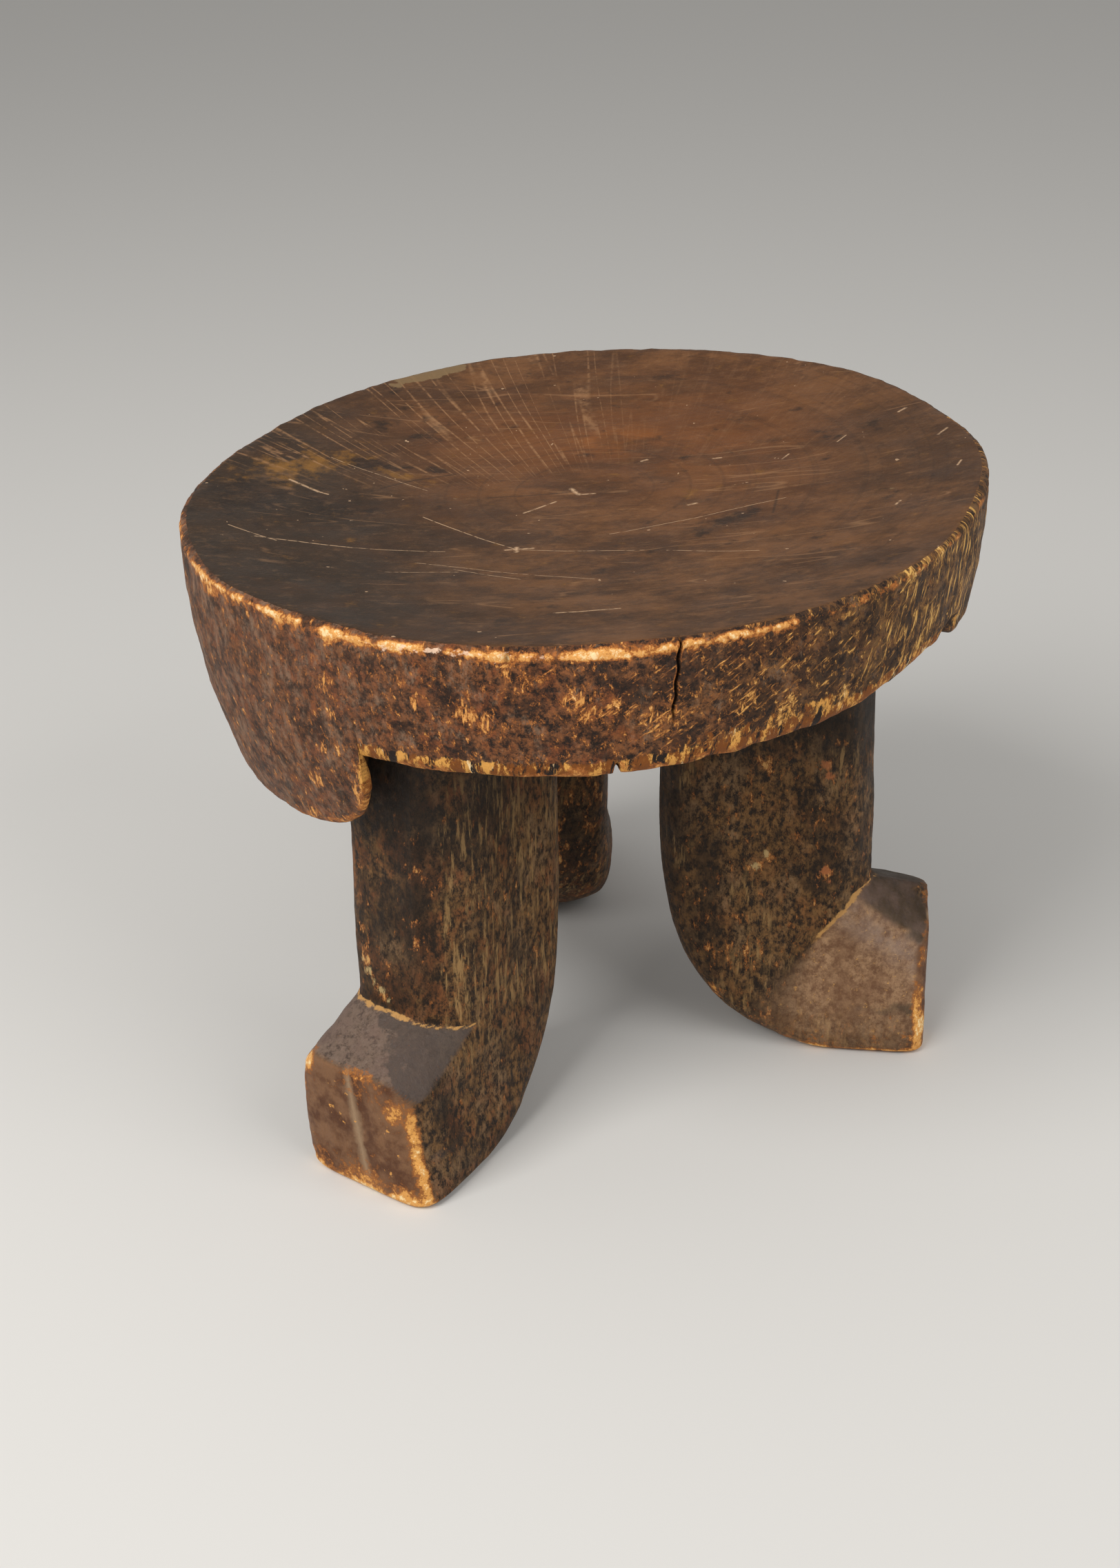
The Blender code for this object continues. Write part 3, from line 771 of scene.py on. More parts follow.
def leg_level(foot, height, grow):
    """Rows round a leg at one height, grown or shrunk: out, across, end share, lead, way past the crease."""
    side, along, sideways, width = blade_shape(foot, height)
    climb = min(height / HEEL_RISE, 1.0) ** HEEL_POWER
    heel = INNER_REACH + HEEL_SWEEP * (1.0 - climb) ** (1.0 / HEEL_POWER) - grow
    inner_width = INNER_WIDTH_LOW + (INNER_WIDTH - INNER_WIDTH_LOW) * min(height / CREASE, 1.0) + grow
    half_width = inner_width + (width + grow - inner_width) * (along + 1.0) / 2.0
    across = half_width * sideways
    outer, end_share, lead = reach_out(foot, across, height)
    outer += grow
    middle = (heel + SHAFT_REACH) / 2.0
    out = np.where(along > 0.0, middle + (outer - middle) * along, middle + (middle - heel) * along)
    beyond = np.full_like(out, FAR_FROM_CREASE)
    if foot["hollow_side"]:
        facing = (side == foot["hollow_side"]) & (height < CREASE_SIDE_TOP)
        past = (out - CREASE_SIDE_OUT) - (height - CREASE_SIDE_HEIGHT) * CREASE_SIDE_SLOPE
        beyond = np.where(facing, past, beyond)
        lean = 0.10 * float(ramp(height, 8.0, 45.0))
        step = ramp(beyond, -0.6, 1.4) * float(ramp(height, 42.0, 52.0))
        cut = np.clip(beyond, 0.0, None) * lean + step
        across = across - np.sign(across) * np.minimum(cut, np.abs(across) * 0.6)
    return out, across, end_share, lead, beyond


front_level = leg_level(FRONT_FOOT, 10.0, 0.0)
print("front foot near the floor is", round(float(np.ptp(front_level[1])), 1), "mm wide")

# %% Spread the points of a level evenly
LEVEL_PARTS = (54, 64, 30, 64)


def even_level(*values):
    """Resample a level's four sides, each evenly, so that corners line up from level to level."""
    out, across = values[:2]
    count = len(out)
    rows = []
    for part, wanted_count in enumerate(LEVEL_PARTS):
        first = part * count // 4
        index = np.arange(first, first + count // 4 + 1) % count
        steps = np.hypot(np.diff(out[index]), np.diff(across[index]))
        run = np.concatenate(([0.0], np.cumsum(steps)))
        wanted = np.linspace(0.0, run[-1], wanted_count + 1)[:-1]
        rows.append(np.stack([np.interp(wanted, run, column[index]) for column in values], 1))
    return np.concatenate(rows)


def leg_heights():
    """Heights of a leg's levels in mm, and their share of the way from the foot's top to the seat."""
    low = np.concatenate([np.linspace(0.0, 3.0, 9), np.arange(4.0, 78.0, 0.85)])
    high = np.linspace(0.0, 1.0, 84)[1:]
    return [(z, 0.0) for z in low] + [(low[-1] + (SHAFT_TOP - low[-1]) * share, share) for share in high]


print("levels of a leg:", len(leg_heights()), "of", sum(LEVEL_PARTS), "points")


# %% Loft the levels into a leg
def build_leg(name, azimuth, stand_out, foot):
    """One leg's closed mesh and what is known of each of its points."""
    turn = math.radians(azimuth)
    rows = []
    levels = leg_heights()
    split = max(z for z, share in levels if share == 0.0)
    for height, share in levels:
        inset = SOLE_ROUND * (1.0 - math.sqrt(1.0 - (1.0 - min(height / SOLE_ROUND, 1.0)) ** 2))
        near_top = max(share - (1.0 - FLARE_SHARE), 0.0) / FLARE_SHARE
        flare = TOP_FLARE * (1.0 - math.sqrt(1.0 - min(near_top, 0.999) ** 2))
        out, across, end_share, lead, beyond = even_level(*leg_level(foot, height, flare - inset)).T
        placed = out + stand_out
        x = (placed * math.cos(turn) - across * math.sin(turn)) * MM
        y = (placed * math.sin(turn) + across * math.cos(turn)) * MM
        top = rim_plane(x, y) - WALL_HEIGHT + TOP_SINK * MM
        z = height * MM if share == 0.0 else split * MM + (top - split * MM) * share
        z = np.broadcast_to(z, x.shape)
        rows.append(np.stack([x, y, z, out, across, end_share, lead, beyond], 1))
    grid = np.array(rows)
    levels_count, round_count = grid.shape[:2]
    index = np.arange(levels_count * round_count).reshape(levels_count, round_count)
    after = np.roll(index, -1, 1)
    walls = np.stack([index[:-1], after[:-1], after[1:], index[1:]], -1).reshape(-1, 4).tolist()
    faces = [tuple(face) for face in walls + [index[0, ::-1].tolist(), index[-1].tolist()]]
    mesh = bpy.data.meshes.new(name + "_leg")
    mesh.from_pydata(grid[..., :3].reshape(-1, 3).tolist(), [], faces)
    mesh.update()
    return mesh, grid.reshape(-1, 8)


leg_parts = {name: build_leg(name, azimuth, stand_out, foot) for name, azimuth, stand_out, foot in LEGS}
print({name: len(mesh.polygons) for name, (mesh, known) in leg_parts.items()})

# %% [markdown]
# ## Working the legs over
# Long upright facets from the adze, a fine grain and small pits are cut into each leg, and fade
# out at the sole and under the seat. The attributes name what the wood shows and where light and
# shade are painted: golden rubbed edges round the end faces and soles, a pale worn line along the
# crease that is partly a painted highlight on its edge, the greyish painted sheen on top of the
# feet, the right foot's near side painted pale where it faces the light with a painted band of
# sheen, and painted shade on dark stretches of the shafts and under the seat. Chips of three kinds
# lie where the crust is knocked off: wide ones full of golden specks, and small pale and orange
# ones. Each is a row of a table, with its place out, across and up in mm, its size, and its
# strength.

# %% Chips and rubbing on the legs
LEG_CHIPS = {
    "front": (
        (122, 17.6, 149.6, 3.0, 0.9), (122, 11.0, 127.6, 3.0, 0.8), (122, 9.7, 107.9, 3.0, 0.9),
        (122, 10.1, 99.0, 4.0, 1.0), (122, -14.7, 97.7, 4.0, 0.9), (122, -12.5, 93.0, 4.0, 0.8),
        (124, -13.9, 83.0, 3.0, 1.0), (124, -11.0, 79.0, 3.0, 1.0), (124, -8.5, 75.5, 3.0, 1.0),
        (124, -4.0, 71.5, 3.5, 1.0), (103, 25, 111, 5.0, 0.5), (90, 25, 120, 6.0, 0.4),
        (86, 25, 106, 7.0, 0.5),
        (75, 25, 91, 6.0, 0.5), (84, 25, 75, 6.0, 0.4), (91, 25, 66, 5.0, 0.4), (66, 25, 72, 4.0, 0.6),
        (149, 12.8, 32.8, 2.0, 0.8), (149, 17.0, 22.0, 2.0, 0.8), (149, 10.0, 38.0, 2.0, 0.6),
        (149, -10.0, 29.0, 1.6, 0.8),
    ),
    "right": (
        (108, -25, 142, 2.5, 0.9), (104, -25, 131, 3.5, 1.0), (105, -25, 127, 3.0, 1.0),
        (81, -25, 131, 4.0, 0.8), (117, -25, 103, 3.5, 1.0), (81, -25, 90, 3.0, 1.0),
        (77.5, -25, 85, 4.0, 1.0), (105.5, -25, 82, 4.0, 0.9),
        (74, -25, 62, 4.0, 0.6), (74, -25, 45, 5.0, 0.6), (60, -25, 41, 4.0, 0.8), (48, -25, 73, 4.0, 0.8),
        (81, -25, 13, 4.0, 0.8), (67, -25, 103, 8.0, 0.35), (60, -25, 33, 4.0, 0.5),
    ),
    "back": (
        (42, 21, 150, 8.0, 0.7), (41, 21, 130, 9.0, 0.8), (41, 22, 108, 9.0, 0.9), (42, 22, 88, 9.0, 0.9),
        (44, 22, 66, 9.0, 0.8), (40, -8, 118, 6.0, 0.6), (42, -12, 84, 6.0, 0.6), (41, -2, 142, 6.0, 0.5),
        (50, -18, 44, 8.0, 0.6), (40, 6, 77, 4.0, 1.0), (41, 6, 68, 4.0, 1.0), (42, 5, 57, 4.0, 1.0),
        (44, 5, 47, 4.0, 0.9),
    ),
}
PALE_CHIPS = {
    "front": (
        (122, -16, 89, 2.6, 0.7), (123, -14.5, 84.5, 3.2, 0.8), (124, -12.5, 80.5, 3.2, 0.85),
        (124, -9.5, 77, 3.2, 0.85), (124, -6.5, 74, 3.4, 0.85), (124, -3.5, 71.5, 2.8, 0.8),
    ),
    "right": (
        (117, -25, 104, 2.6, 1.0), (117, -25, 100, 1.8, 1.0), (81, -25, 90.5, 2.6, 1.0),
        (77.5, -25, 85, 3.0, 1.0), (62, -25, 46, 2.4, 0.8), (70, -25, 58, 2.0, 0.8),
    ),
    "back": (),
}
ORANGE_CHIPS = {
    "front": (
        (122, 9.7, 108, 2.2, 0.8), (122, 10.1, 101, 2.4, 1.0), (122, 9.5, 96, 2.0, 0.9),
        (122, -17, 101, 2.0, 0.8), (122, -15, 97, 2.0, 0.8),
    ),
    "right": (
        (104, -25, 132, 2.8, 0.9), (105, -25, 127, 3.0, 0.9), (105.5, -25, 84, 3.0, 0.9),
        (106.5, -25, 79, 2.6, 0.8),
    ),
    "back": (
        (40, 6, 92, 2.6, 1.0), (40, 6, 84, 2.6, 1.0), (40, 6, 77, 2.6, 1.0), (41, 6, 68, 2.8, 1.0),
        (42, 5, 60, 2.6, 1.0),
    ),
}
FRONT_RUBBING = (
    (149, 16, 41, 5.0, 0.5), (149, -29, 49, 5.0, 1.0), (149, -33, 36, 6.0, 0.45), (149, 20, 0, 8.0, 0.8),
    (149, 0, 0, 14.0, 0.5), (149, -24, 2, 9.0, 0.4), (149, 0, 53, 12.0, 0.3),
)
RIGHT_RUBBING = (
    (149, -25, 12, 4.0, 0.9), (149, -24, 26, 4.0, 0.7), (149, -19, 40, 4.0, 0.5), (149, -14, 52, 4.0, 0.4),
    (149, 0, 60, 4.0, 0.3), (149, -18, 1, 5.0, 0.7), (130, -23, 0, 14.0, 0.7), (105, -25, 0, 16.0, 0.6),
    (62, -25, 22, 6.0, 0.7), (149, 24, 36, 3.0, 0.4),
)
LEG_RUBBING = {"front": FRONT_RUBBING, "right": RIGHT_RUBBING, "back": FRONT_RUBBING}


def marked(known, table, blur=0.0):
    """The strongest mark at each point of a leg, each mark wider by a blur."""
    strongest = np.zeros(len(known))
    for out, across, up, size, strength in table:
        square = (known[:, 3] - out) ** 2 + (known[:, 4] - across) ** 2 + (known[:, 2] / MM - up) ** 2
        strongest = np.maximum(strongest, strength * np.exp(-square / (size + blur) ** 2))
    return strongest


for title, tables in (("golden", LEG_CHIPS), ("pale", PALE_CHIPS), ("orange", ORANGE_CHIPS)):
    print(title, "chips:", {name: len(table) for name, table in tables.items()})


# %% Cut the adze marks
def cut_marks(mesh, known, seed):
    """Push tool marks into a leg, and return its long facets and each point's height before them."""
    points = known[:, :3].copy()
    height = points[:, 2] / MM
    long_facets = bumps(points, 17 * MM, (1.0, 1.0, 4.0), seed, 2)
    grain = bumps(points, 4.5 * MM, (1.0, 1.0, 4.0), seed + 4.0, 3)
    pits = bumps(points, 2.4 * MM, (1.0, 1.0, 1.6), seed + 9.0, 2)
    free = within(height, 0.0, 6.0, 178.0, 190.0)
    push = (0.62 * long_facets + 0.20 * grain + 0.10 * pits) * MM * free
    points += normals_of(mesh) * push[:, None]
    points[:, 2] = np.clip(points[:, 2], 0.0, None)
    move_points(mesh, points)
    return long_facets, height


# %% Measure the legs' marks
# The heights in mm between which a foot fades into its shaft.
FOOT_FADE = (62.0, 72.0)


def measure_foot(mesh, known, height, proud, foot, rubbing):
    """What a foot shows: rubbed edges, the crease, the top with its painted sheen, the right foot's near
    side painted pale with a painted band of sheen, and the end face.
    """
    out, across, end_share, lead, beyond = known[:, 3:].T
    hollow_side, crease_end = foot["hollow_side"], foot["crease_end"]
    stripe_side = hollow_side or 1
    on_foot = 1.0 - ramp(height, *FOOT_FADE)
    end_face = ramp(end_share, -1.5, -0.4) * ramp(out, 143.0, 146.0)
    blur = 1.2 + 0.8 * np.clip(50.0 - height, 0.0, None)
    # The right foot's near side, painted pale where it faces the light.
    near_face = ramp(beyond / blur, -0.3, 1.0) * (0.35 + 0.65 * ramp(height, 0.0, 30.0))
    near_face = near_face * (across * hollow_side > 8.0)
    sole = 1.0 - ramp(height, 1.0, 5.0)
    crease_top = hump(lead, 0.3, 1.3) * ramp(out, crease_end, crease_end + 3.0) * ramp(height, 50.0, 56.0)
    crease_side = hump(beyond, 0.0, 2.0) * ramp(height, 47.0, 53.0) * (across * hollow_side > 15.0)
    near_edge = hump(end_share, -1.0, 2.2) * ramp(out, 138.0, 143.0)
    edge = np.maximum(ramp(proud, 0.06 * MM, 0.35 * MM), near_edge)
    inward = eased(foot["width"][stripe_side], height) - across * stripe_side
    stripe = hump(inward, 3.6, 3.8 - 0.02 * height) * ramp(end_share, -3.5, -1.2) * ramp(out, 141.0, 145.0)
    stripe *= 0.90 * (1.0 - (0.25 if hollow_side else 0.60) * ramp(height, 38.0, 48.0))
    steep_flank = 0.4 if hollow_side else ramp(-across * stripe_side, 6.0, 14.0)
    up_share = ramp(normals_of(mesh)[:, 2] - 0.20 * steep_flank, 0.26, 0.44)
    rubbed_edge = edge * (0.20 + 0.40 * sole) * on_foot + (0.72 + 0.70 * edge) * marked(known, rubbing, 1.0)
    return {
        "rub": np.maximum(stripe, rubbed_edge),
        "crease": crease_top + crease_side,
        # top_facet marks where the painted sheen goes.
        "top_facet": up_share * (1.0 - end_face) * ramp(lead, 0.0, 1.2) * ramp(out, 104.0, 107.0),
        "slate": ramp(across - 1.1 * (out - 125.0) + 14.0, 0.0, 9.0) * (hollow_side == 0),
        "near_face": near_face,
        "sheen_band": near_face * hump(height, 61.0 - 0.774 * (out - 117.0), 8.0),
        "end_face": end_face,
    }


def measure_shaft(known, height, long_facets, foot):
    """What a shaft shows: its outer face, painted shade on dark stretches and under the seat, and the room
    for streaks.
    """
    out, across = known[:, 3:5].T
    on_shaft = ramp(height, *FOOT_FADE)
    shaded = hump(across, 9.0, 7.0) * ramp(out, 108.0, 116.0) * on_shaft
    if foot["hollow_side"]:
        shaded = hump(out, 43.0, 8.0) * ramp(height, 30.0, 70.0)
    return {
        "outer_face": ramp(out, 115.5, 119.5) * on_shaft,
        "shaded": shaded * (0.55 + 0.45 * ramp(long_facets, -0.4, 0.3)),
        "streaky": ramp(across, 14.0, 22.0) * (1.0 - ramp(np.abs(height - 105.0), 40.0, 70.0)),
        # shade_top marks where shade is painted under the seat.
        "shade_top": ramp(height, 112.0, 170.0) * (0.65 + 0.35 * ramp(-across * out, -900.0, 900.0)),
    }


# %% Work each leg over
for number, (name, _, _, foot) in enumerate(LEGS):
    mesh, known = leg_parts[name]
    long_facets, height = cut_marks(mesh, known, 11.0 + 5.0 * number)
    proud = standing_proud(mesh, 8)
    keep_all(mesh, measure_foot(mesh, known, height, proud, foot, LEG_RUBBING[name]))
    keep_all(mesh, measure_shaft(known, height, long_facets, foot))
    keep_all(mesh, {
        "chipped": marked(known, LEG_CHIPS[name]),
        "pale_chip": marked(known, PALE_CHIPS[name]),
        "orange_chip": marked(known, ORANGE_CHIPS[name]),
    })
    print(name, "leg: sharpest edge stands", round(float(proud.max()) / MM, 2), "mm proud")

# %% [markdown]
# ## Node groups that every wood here uses
# "Worn patches" turns noise into a soft mask with chosen limits: flecks, stains and streaks are all
# this group with other values. Its lift raises the noise where a mark belongs, so that a soft
# attribute comes out with a ragged edge. "Hair lines" keeps only where noise crosses its middle,
# which draws thin wandering lines. "Log end" gives directions out from the pith, for the rays of
# end grain. "Wall sheet" unrolls the wall, so that marks can slant along it. "Knife scratch" is
# one thin straight scratch.

# %% Patches and hair lines
MEASURING = ("LENGTH", "DISTANCE", "DOT_PRODUCT")


def vector_maths(tree, operation, first, second=(0.0, 0.0, 0.0)):
    """The result of one Vector Math node: a number where it measures, and a vector elsewhere."""
    inputs = {0: first, "Scale" if operation == "SCALE" else 1: second}
    node = add(tree, "ShaderNodeVectorMath", inputs, operation=operation)
    return node.outputs["Value" if operation in MEASURING else "Vector"]


def ranged(tree, value, start, end, low=0.0, high=1.0):
    """A value that is low at start and high at end, and stays there beyond them."""
    return add(tree, "ShaderNodeMapRange", {
        "Value": value, "From Min": start, "From Max": end, "To Min": low, "To Max": high}).outputs[0]


def worn_patches_group():
    """Noise, lifted where wanted, between two limits, as a mask."""
    tree, given, result = new_group(
        "Worn patches",
        {"Vector": "Vector", "Scale": "Float", "Detail": "Float", "Roughness": "Float", "Lift": "Float",
         "Start": "Float", "End": "Float"}, {"Mask": "Float"})
    cloud = add(tree, "ShaderNodeTexNoise", {
        key: given[key] for key in ("Vector", "Scale", "Detail", "Roughness")})
    height = maths(tree, "ADD", cloud.outputs[0], given["Lift"])
    mask = add(tree, "ShaderNodeMapRange", {
        "Value": height, "From Min": given["Start"], "From Max": given["End"]},
        interpolation_type="SMOOTHSTEP")
    tree.links.new(mask.outputs[0], result["Mask"])
    return tree


def hair_lines_group():
    """Thin lines where noise crosses its middle value."""
    tree, given, result = new_group(
        "Hair lines", {"Vector": "Vector", "Scale": "Float", "Detail": "Float", "Width": "Float"},
        {"Mask": "Float"})
    cloud = add(tree, "ShaderNodeTexNoise", {
        "Vector": given["Vector"], "Scale": given["Scale"], "Detail": given["Detail"], "Roughness": 0.5})
    from_middle = maths(tree, "ABSOLUTE", maths(tree, "SUBTRACT", cloud.outputs[0], 0.5))
    tree.links.new(ranged(tree, from_middle, 0.0, given["Width"], 1.0, 0.0), result["Mask"])
    return tree


PATCHES = worn_patches_group()
HAIRS = hair_lines_group()
print("first groups:", PATCHES.name, "and", HAIRS.name)


# %% End grain and unrolled wall
def log_end_group():
    """Direction from the pith, seen along the log, spread out so that noise on it draws rays."""
    tree, given, result = new_group(
        "Log end", {"Vector": "Vector", "Pith": "Vector", "Rays": "Float", "Wander": "Float"},
        {"Ray vector": "Vector", "Distance": "Float"})
    offset = vector_maths(tree, "SUBTRACT", given["Vector"], given["Pith"])
    flat = vector_maths(tree, "MULTIPLY", offset, (1.0, 1.0, 0.0))
    distance = vector_maths(tree, "LENGTH", flat)
    spread = vector_maths(tree, "SCALE", vector_maths(tree, "NORMALIZE", flat), given["Rays"])
    slow = maths(tree, "MULTIPLY", distance, given["Wander"])
    climb = add(tree, "ShaderNodeCombineXYZ", {2: slow}).outputs[0]
    tree.links.new(vector_maths(tree, "ADD", spread, climb), result["Ray vector"])
    tree.links.new(distance, result["Distance"])
    return tree


def wall_sheet_group():
    """The wall unrolled: X along it, Y up it, in metres, with the seam at the back."""
    tree, given, result = new_group(
        "Wall sheet", {"Vector": "Vector"}, {"Sheet": "Vector", "Along": "Float"})
    place = add(tree, "ShaderNodeSeparateXYZ", {0: given["Vector"]})
    ahead = maths(tree, "MULTIPLY", place.outputs["Y"], -1.0)
    turn = maths(tree, "ARCTAN2", place.outputs["X"], ahead)
    length = maths(tree, "MULTIPLY", turn, SEAT_RADIUS)
    sheet = add(tree, "ShaderNodeCombineXYZ", {0: length, 1: place.outputs["Z"]})
    tree.links.new(sheet.outputs[0], result["Sheet"])
    tree.links.new(length, result["Along"])
    return tree


LOG_END = log_end_group()
WALL_SHEET = wall_sheet_group()
print("grain groups:", LOG_END.name, "and", WALL_SHEET.name)


# %% Scratches
def knife_scratch_group():
    """A thin straight scratch between two points, as a mask."""
    tree, given, result = new_group(
        "Knife scratch", {"Vector": "Vector", "Start": "Vector", "End": "Vector", "Width": "Float"},
        {"Mask": "Float"})
    here = vector_maths(tree, "MULTIPLY", given["Vector"], (1.0, 1.0, 0.0))
    way = vector_maths(tree, "SUBTRACT", here, given["Start"])
    line = vector_maths(tree, "SUBTRACT", given["End"], given["Start"])
    shadow = vector_maths(tree, "DOT_PRODUCT", way, line)
    square = vector_maths(tree, "DOT_PRODUCT", line, line)
    share = maths(tree, "DIVIDE", shadow, square, clamp=True)
    gap = vector_maths(tree, "DISTANCE", way, vector_maths(tree, "SCALE", line, share))
    tree.links.new(ranged(tree, gap, 0.0, given["Width"], 1.0, 0.0), result["Mask"])
    return tree


SCRATCH = knife_scratch_group()
print("node groups:", [group.name for group in bpy.data.node_groups])


# %% Short ways to mix colours and masks
def paint(red, green, blue):
    """A colour from 0 to 255, turned into the shader's linear values."""
    return tuple(((value / 255.0 + 0.055) / 1.055) ** 2.4 for value in (red, green, blue))


def patches(tree, vector, scale, start, end, detail=4.0, roughness=0.6, lift=0.0):
    """A mask of worn patches."""
    return add(tree, "ShaderNodeGroup", {
        "Vector": vector, "Scale": scale, "Detail": detail, "Roughness": roughness,
        "Lift": lift, "Start": start, "End": end}, node_tree=PATCHES).outputs["Mask"]


def hairs(tree, vector, scale, width, detail=1.0):
    """A mask of thin wandering lines."""
    return add(tree, "ShaderNodeGroup", {
        "Vector": vector, "Scale": scale, "Detail": detail, "Width": width}, node_tree=HAIRS).outputs["Mask"]


def stretched(tree, vector, scale, turn=0.0):
    """Coordinates turned round the upright axis and then scaled, for streaks."""
    turned = add(tree, "ShaderNodeMapping", {"Vector": vector, "Rotation": (0.0, 0.0, turn)})
    return add(tree, "ShaderNodeMapping", {"Vector": turned.outputs[0], "Scale": scale}).outputs[0]


def blended(tree, share, first, second):
    """First colour, with second laid over it by a share."""
    node = add(tree, "ShaderNodeMix", data_type="RGBA")
    for index, value in ((0, share), (6, first), (7, second)):
        if isinstance(value, bpy.types.NodeSocket):
            tree.links.new(value, node.inputs[index])
        else:
            node.inputs[index].default_value = (*value, 1.0) if index else value
    return node.outputs[2]


def times(tree, first, second):
    """The product of two masks, 1 at most."""
    return maths(tree, "MULTIPLY", first, second, clamp=True)


def washed(tree, colour, mask, share, second):
    """A colour with a second one over it inside a mask, up to a share."""
    return blended(tree, times(tree, mask, share), colour, second)


def lifted(tree, value, gain, offset=0.0):
    """A value scaled and shifted, to feed a lift."""
    return maths(tree, "MULTIPLY_ADD", value, gain, offset)


def kept(tree, name):
    """A value kept on the mesh."""
    return add(tree, "ShaderNodeAttribute", attribute_name=name).outputs["Fac"]


def raised(tree, name, gain, offset=0.0):
    """A lift from a value kept on the mesh."""
    return lifted(tree, kept(tree, name), gain, offset)


def start_wood(material):
    """Give a material its nodes, and return its tree and the place of each point on the piece."""
    material.use_nodes = True
    return material.node_tree, add(material.node_tree, "ShaderNodeTexCoord").outputs["Object"]


def uneven_roughness(tree, here, scale, low, high):
    """A roughness that drifts between two values."""
    return ranged(tree, patches(tree, here, scale, 0.3, 0.7, 5.0), 0.0, 1.0, low, high)


def finish_wood(tree, colour, roughness, height, strength, distance, shine):
    """Feed a material's shader with its colour, roughness and bumps."""
    shader = tree.nodes["Principled BSDF"]
    tree.links.new(colour, shader.inputs["Base Color"])
    tree.links.new(roughness, shader.inputs["Roughness"])
    bump = add(tree, "ShaderNodeBump", {"Strength": strength, "Distance": distance, "Height": height})
    tree.links.new(bump.outputs[0], shader.inputs["Normal"])
    shader.inputs["Specular IOR Level"].default_value = shine


print("paint check:", tuple(round(value, 3) for value in paint(112, 74, 42)))

# %% [markdown]
# ## The seat's wood
# The dish is end grain, polished by sitting: umber, with a painted dim reflection that greys the
# left and the front, and warm red-brown behind the pith that is partly a painted warm reflection. A
# fan of fine pale rays opens towards the back, knife scratches cross it, and a chip at the back has
# bared paler wood. The wall is side grain under a dark crust that has flaked to red-brown, amber
# and gold. Its left carries a painted sheen and is scuffed grey, partly with painted glints. On its
# right half the wood is olive and the gold runs in strokes, first slanting and then steep. Rim and
# lower bevel are rubbed to ochre and gold; the front of the rim has a painted highlight, the bevel's
# flutes painted pale highlights, and the cracks and chips are painted black as shade. Every layer is
# a colour laid over the last inside a mask, as a stain would be. Dish and wall are two materials,
# because one that held both would ask too much of the renderer.

# %% Colours of the seat
SEAT_COLOURS = {
    "umber": paint(112, 74, 42), "umber_dark": paint(68, 43, 23), "dim_reflection": paint(42, 32, 22),
    "black_brown": paint(34, 22, 13), "red_brown": paint(108, 62, 26), "orange": paint(132, 76, 28),
    "ochre": paint(134, 92, 36), "ray": paint(160, 118, 80), "chip": paint(124, 100, 68),
    "scratch": paint(206, 170, 134), "crust": paint(28, 15, 8), "brown": paint(130, 80, 45),
    "red": paint(136, 68, 30), "left_sheen": paint(98, 66, 46), "grey": paint(150, 120, 96),
    "amber": paint(176, 104, 44), "gold": paint(228, 162, 86), "pale": paint(253, 220, 166),
    "painted_highlight": paint(250, 214, 184), "olive": paint(104, 78, 42), "olive_amber": paint(148, 104, 50),
    "olive_gold": paint(222, 176, 96), "deep_ochre": paint(126, 70, 18), "yellow": paint(226, 164, 80),
    "under": paint(78, 54, 34), "crack_shade": paint(22, 13, 8),
}
print("colours of the seat:", len(SEAT_COLOURS))

# %% Scratches in the dish
# Each scratch runs from one place to another in the dish, in mm, and has a width.
PALE_SCRATCHES = (
    ((-120, -31), (-84, -38), 0.45), ((-84, -38), (-50, -41), 0.26), ((-24, -41), (-60, -6), 0.36),
    ((-24, -41), (22, -49), 0.28), ((-60, -52), (4, -76), 0.24), ((10, -30), (76, -12), 0.26),
    ((-24, -43), (-24, -39), 1.2), ((-28, -41), (-18, -40), 0.8), ((-131, -22), (-112, -34), 0.4),
    ((-114, 26), (-102, 17), 0.9), ((-102, 17), (-98, 15), 0.6), ((78, 26), (81, 30), 0.5),
    ((100, 33), (104, 38), 0.4), ((137, 21), (141, 25), 0.7), ((139, -12), (141, -8), 0.6),
    ((113, -38), (115, -35), 0.7), ((-10, -110), (12, -109), 0.6), ((-46, -60), (-22, -72), 0.26),
    ((-4, 18), (-1, 12), 1.3), ((-1, 12), (5, 12), 0.7), ((126, 50), (129, 52), 0.8),
    ((30, -52), (62, -62), 0.26), ((-70, -62), (-44, -63), 0.24), ((-100, 50), (-60, 20), 0.24),
    ((40, -8), (43, -7), 0.9), ((24, 40), (26, 41), 0.9), ((52, 36), (55, 36), 0.7),
    ((-10, 6), (-22, -4), 0.7),
)
DARK_SCRATCHES = (
    ((-36, 12), (-4, 15), 0.7), ((70, -26), (74, -4), 0.8), ((-66, 30), (-50, 36), 0.9),
    ((-78, 22), (-66, 30), 0.9),
)


def scratched(tree, here, table):
    """All the scratches of a table as one mask."""
    marks = None
    for start, end, width in table:
        first, last = ((x * MM, y * MM, 0.0) for x, y in (start, end))
        inputs = {"Vector": here, "Start": first, "End": last, "Width": width * MM}
        mark = add(tree, "ShaderNodeGroup", inputs, node_tree=SCRATCH).outputs["Mask"]
        marks = mark if marks is None else maths(tree, "MAXIMUM", marks, mark)
    return marks


print("scratches:", len(PALE_SCRATCHES), "pale,", len(DARK_SCRATCHES), "dark")

# %% The dish's colour
PITH = (1.0 * MM, 14.7 * MM, 0.0)


def log_end(tree, here, pith, rays, wander):
    """Ray vector and distance from a pith."""
    inputs = {"Vector": here, "Pith": pith, "Rays": rays, "Wander": wander}
    return add(tree, "ShaderNodeGroup", inputs, node_tree=LOG_END).outputs


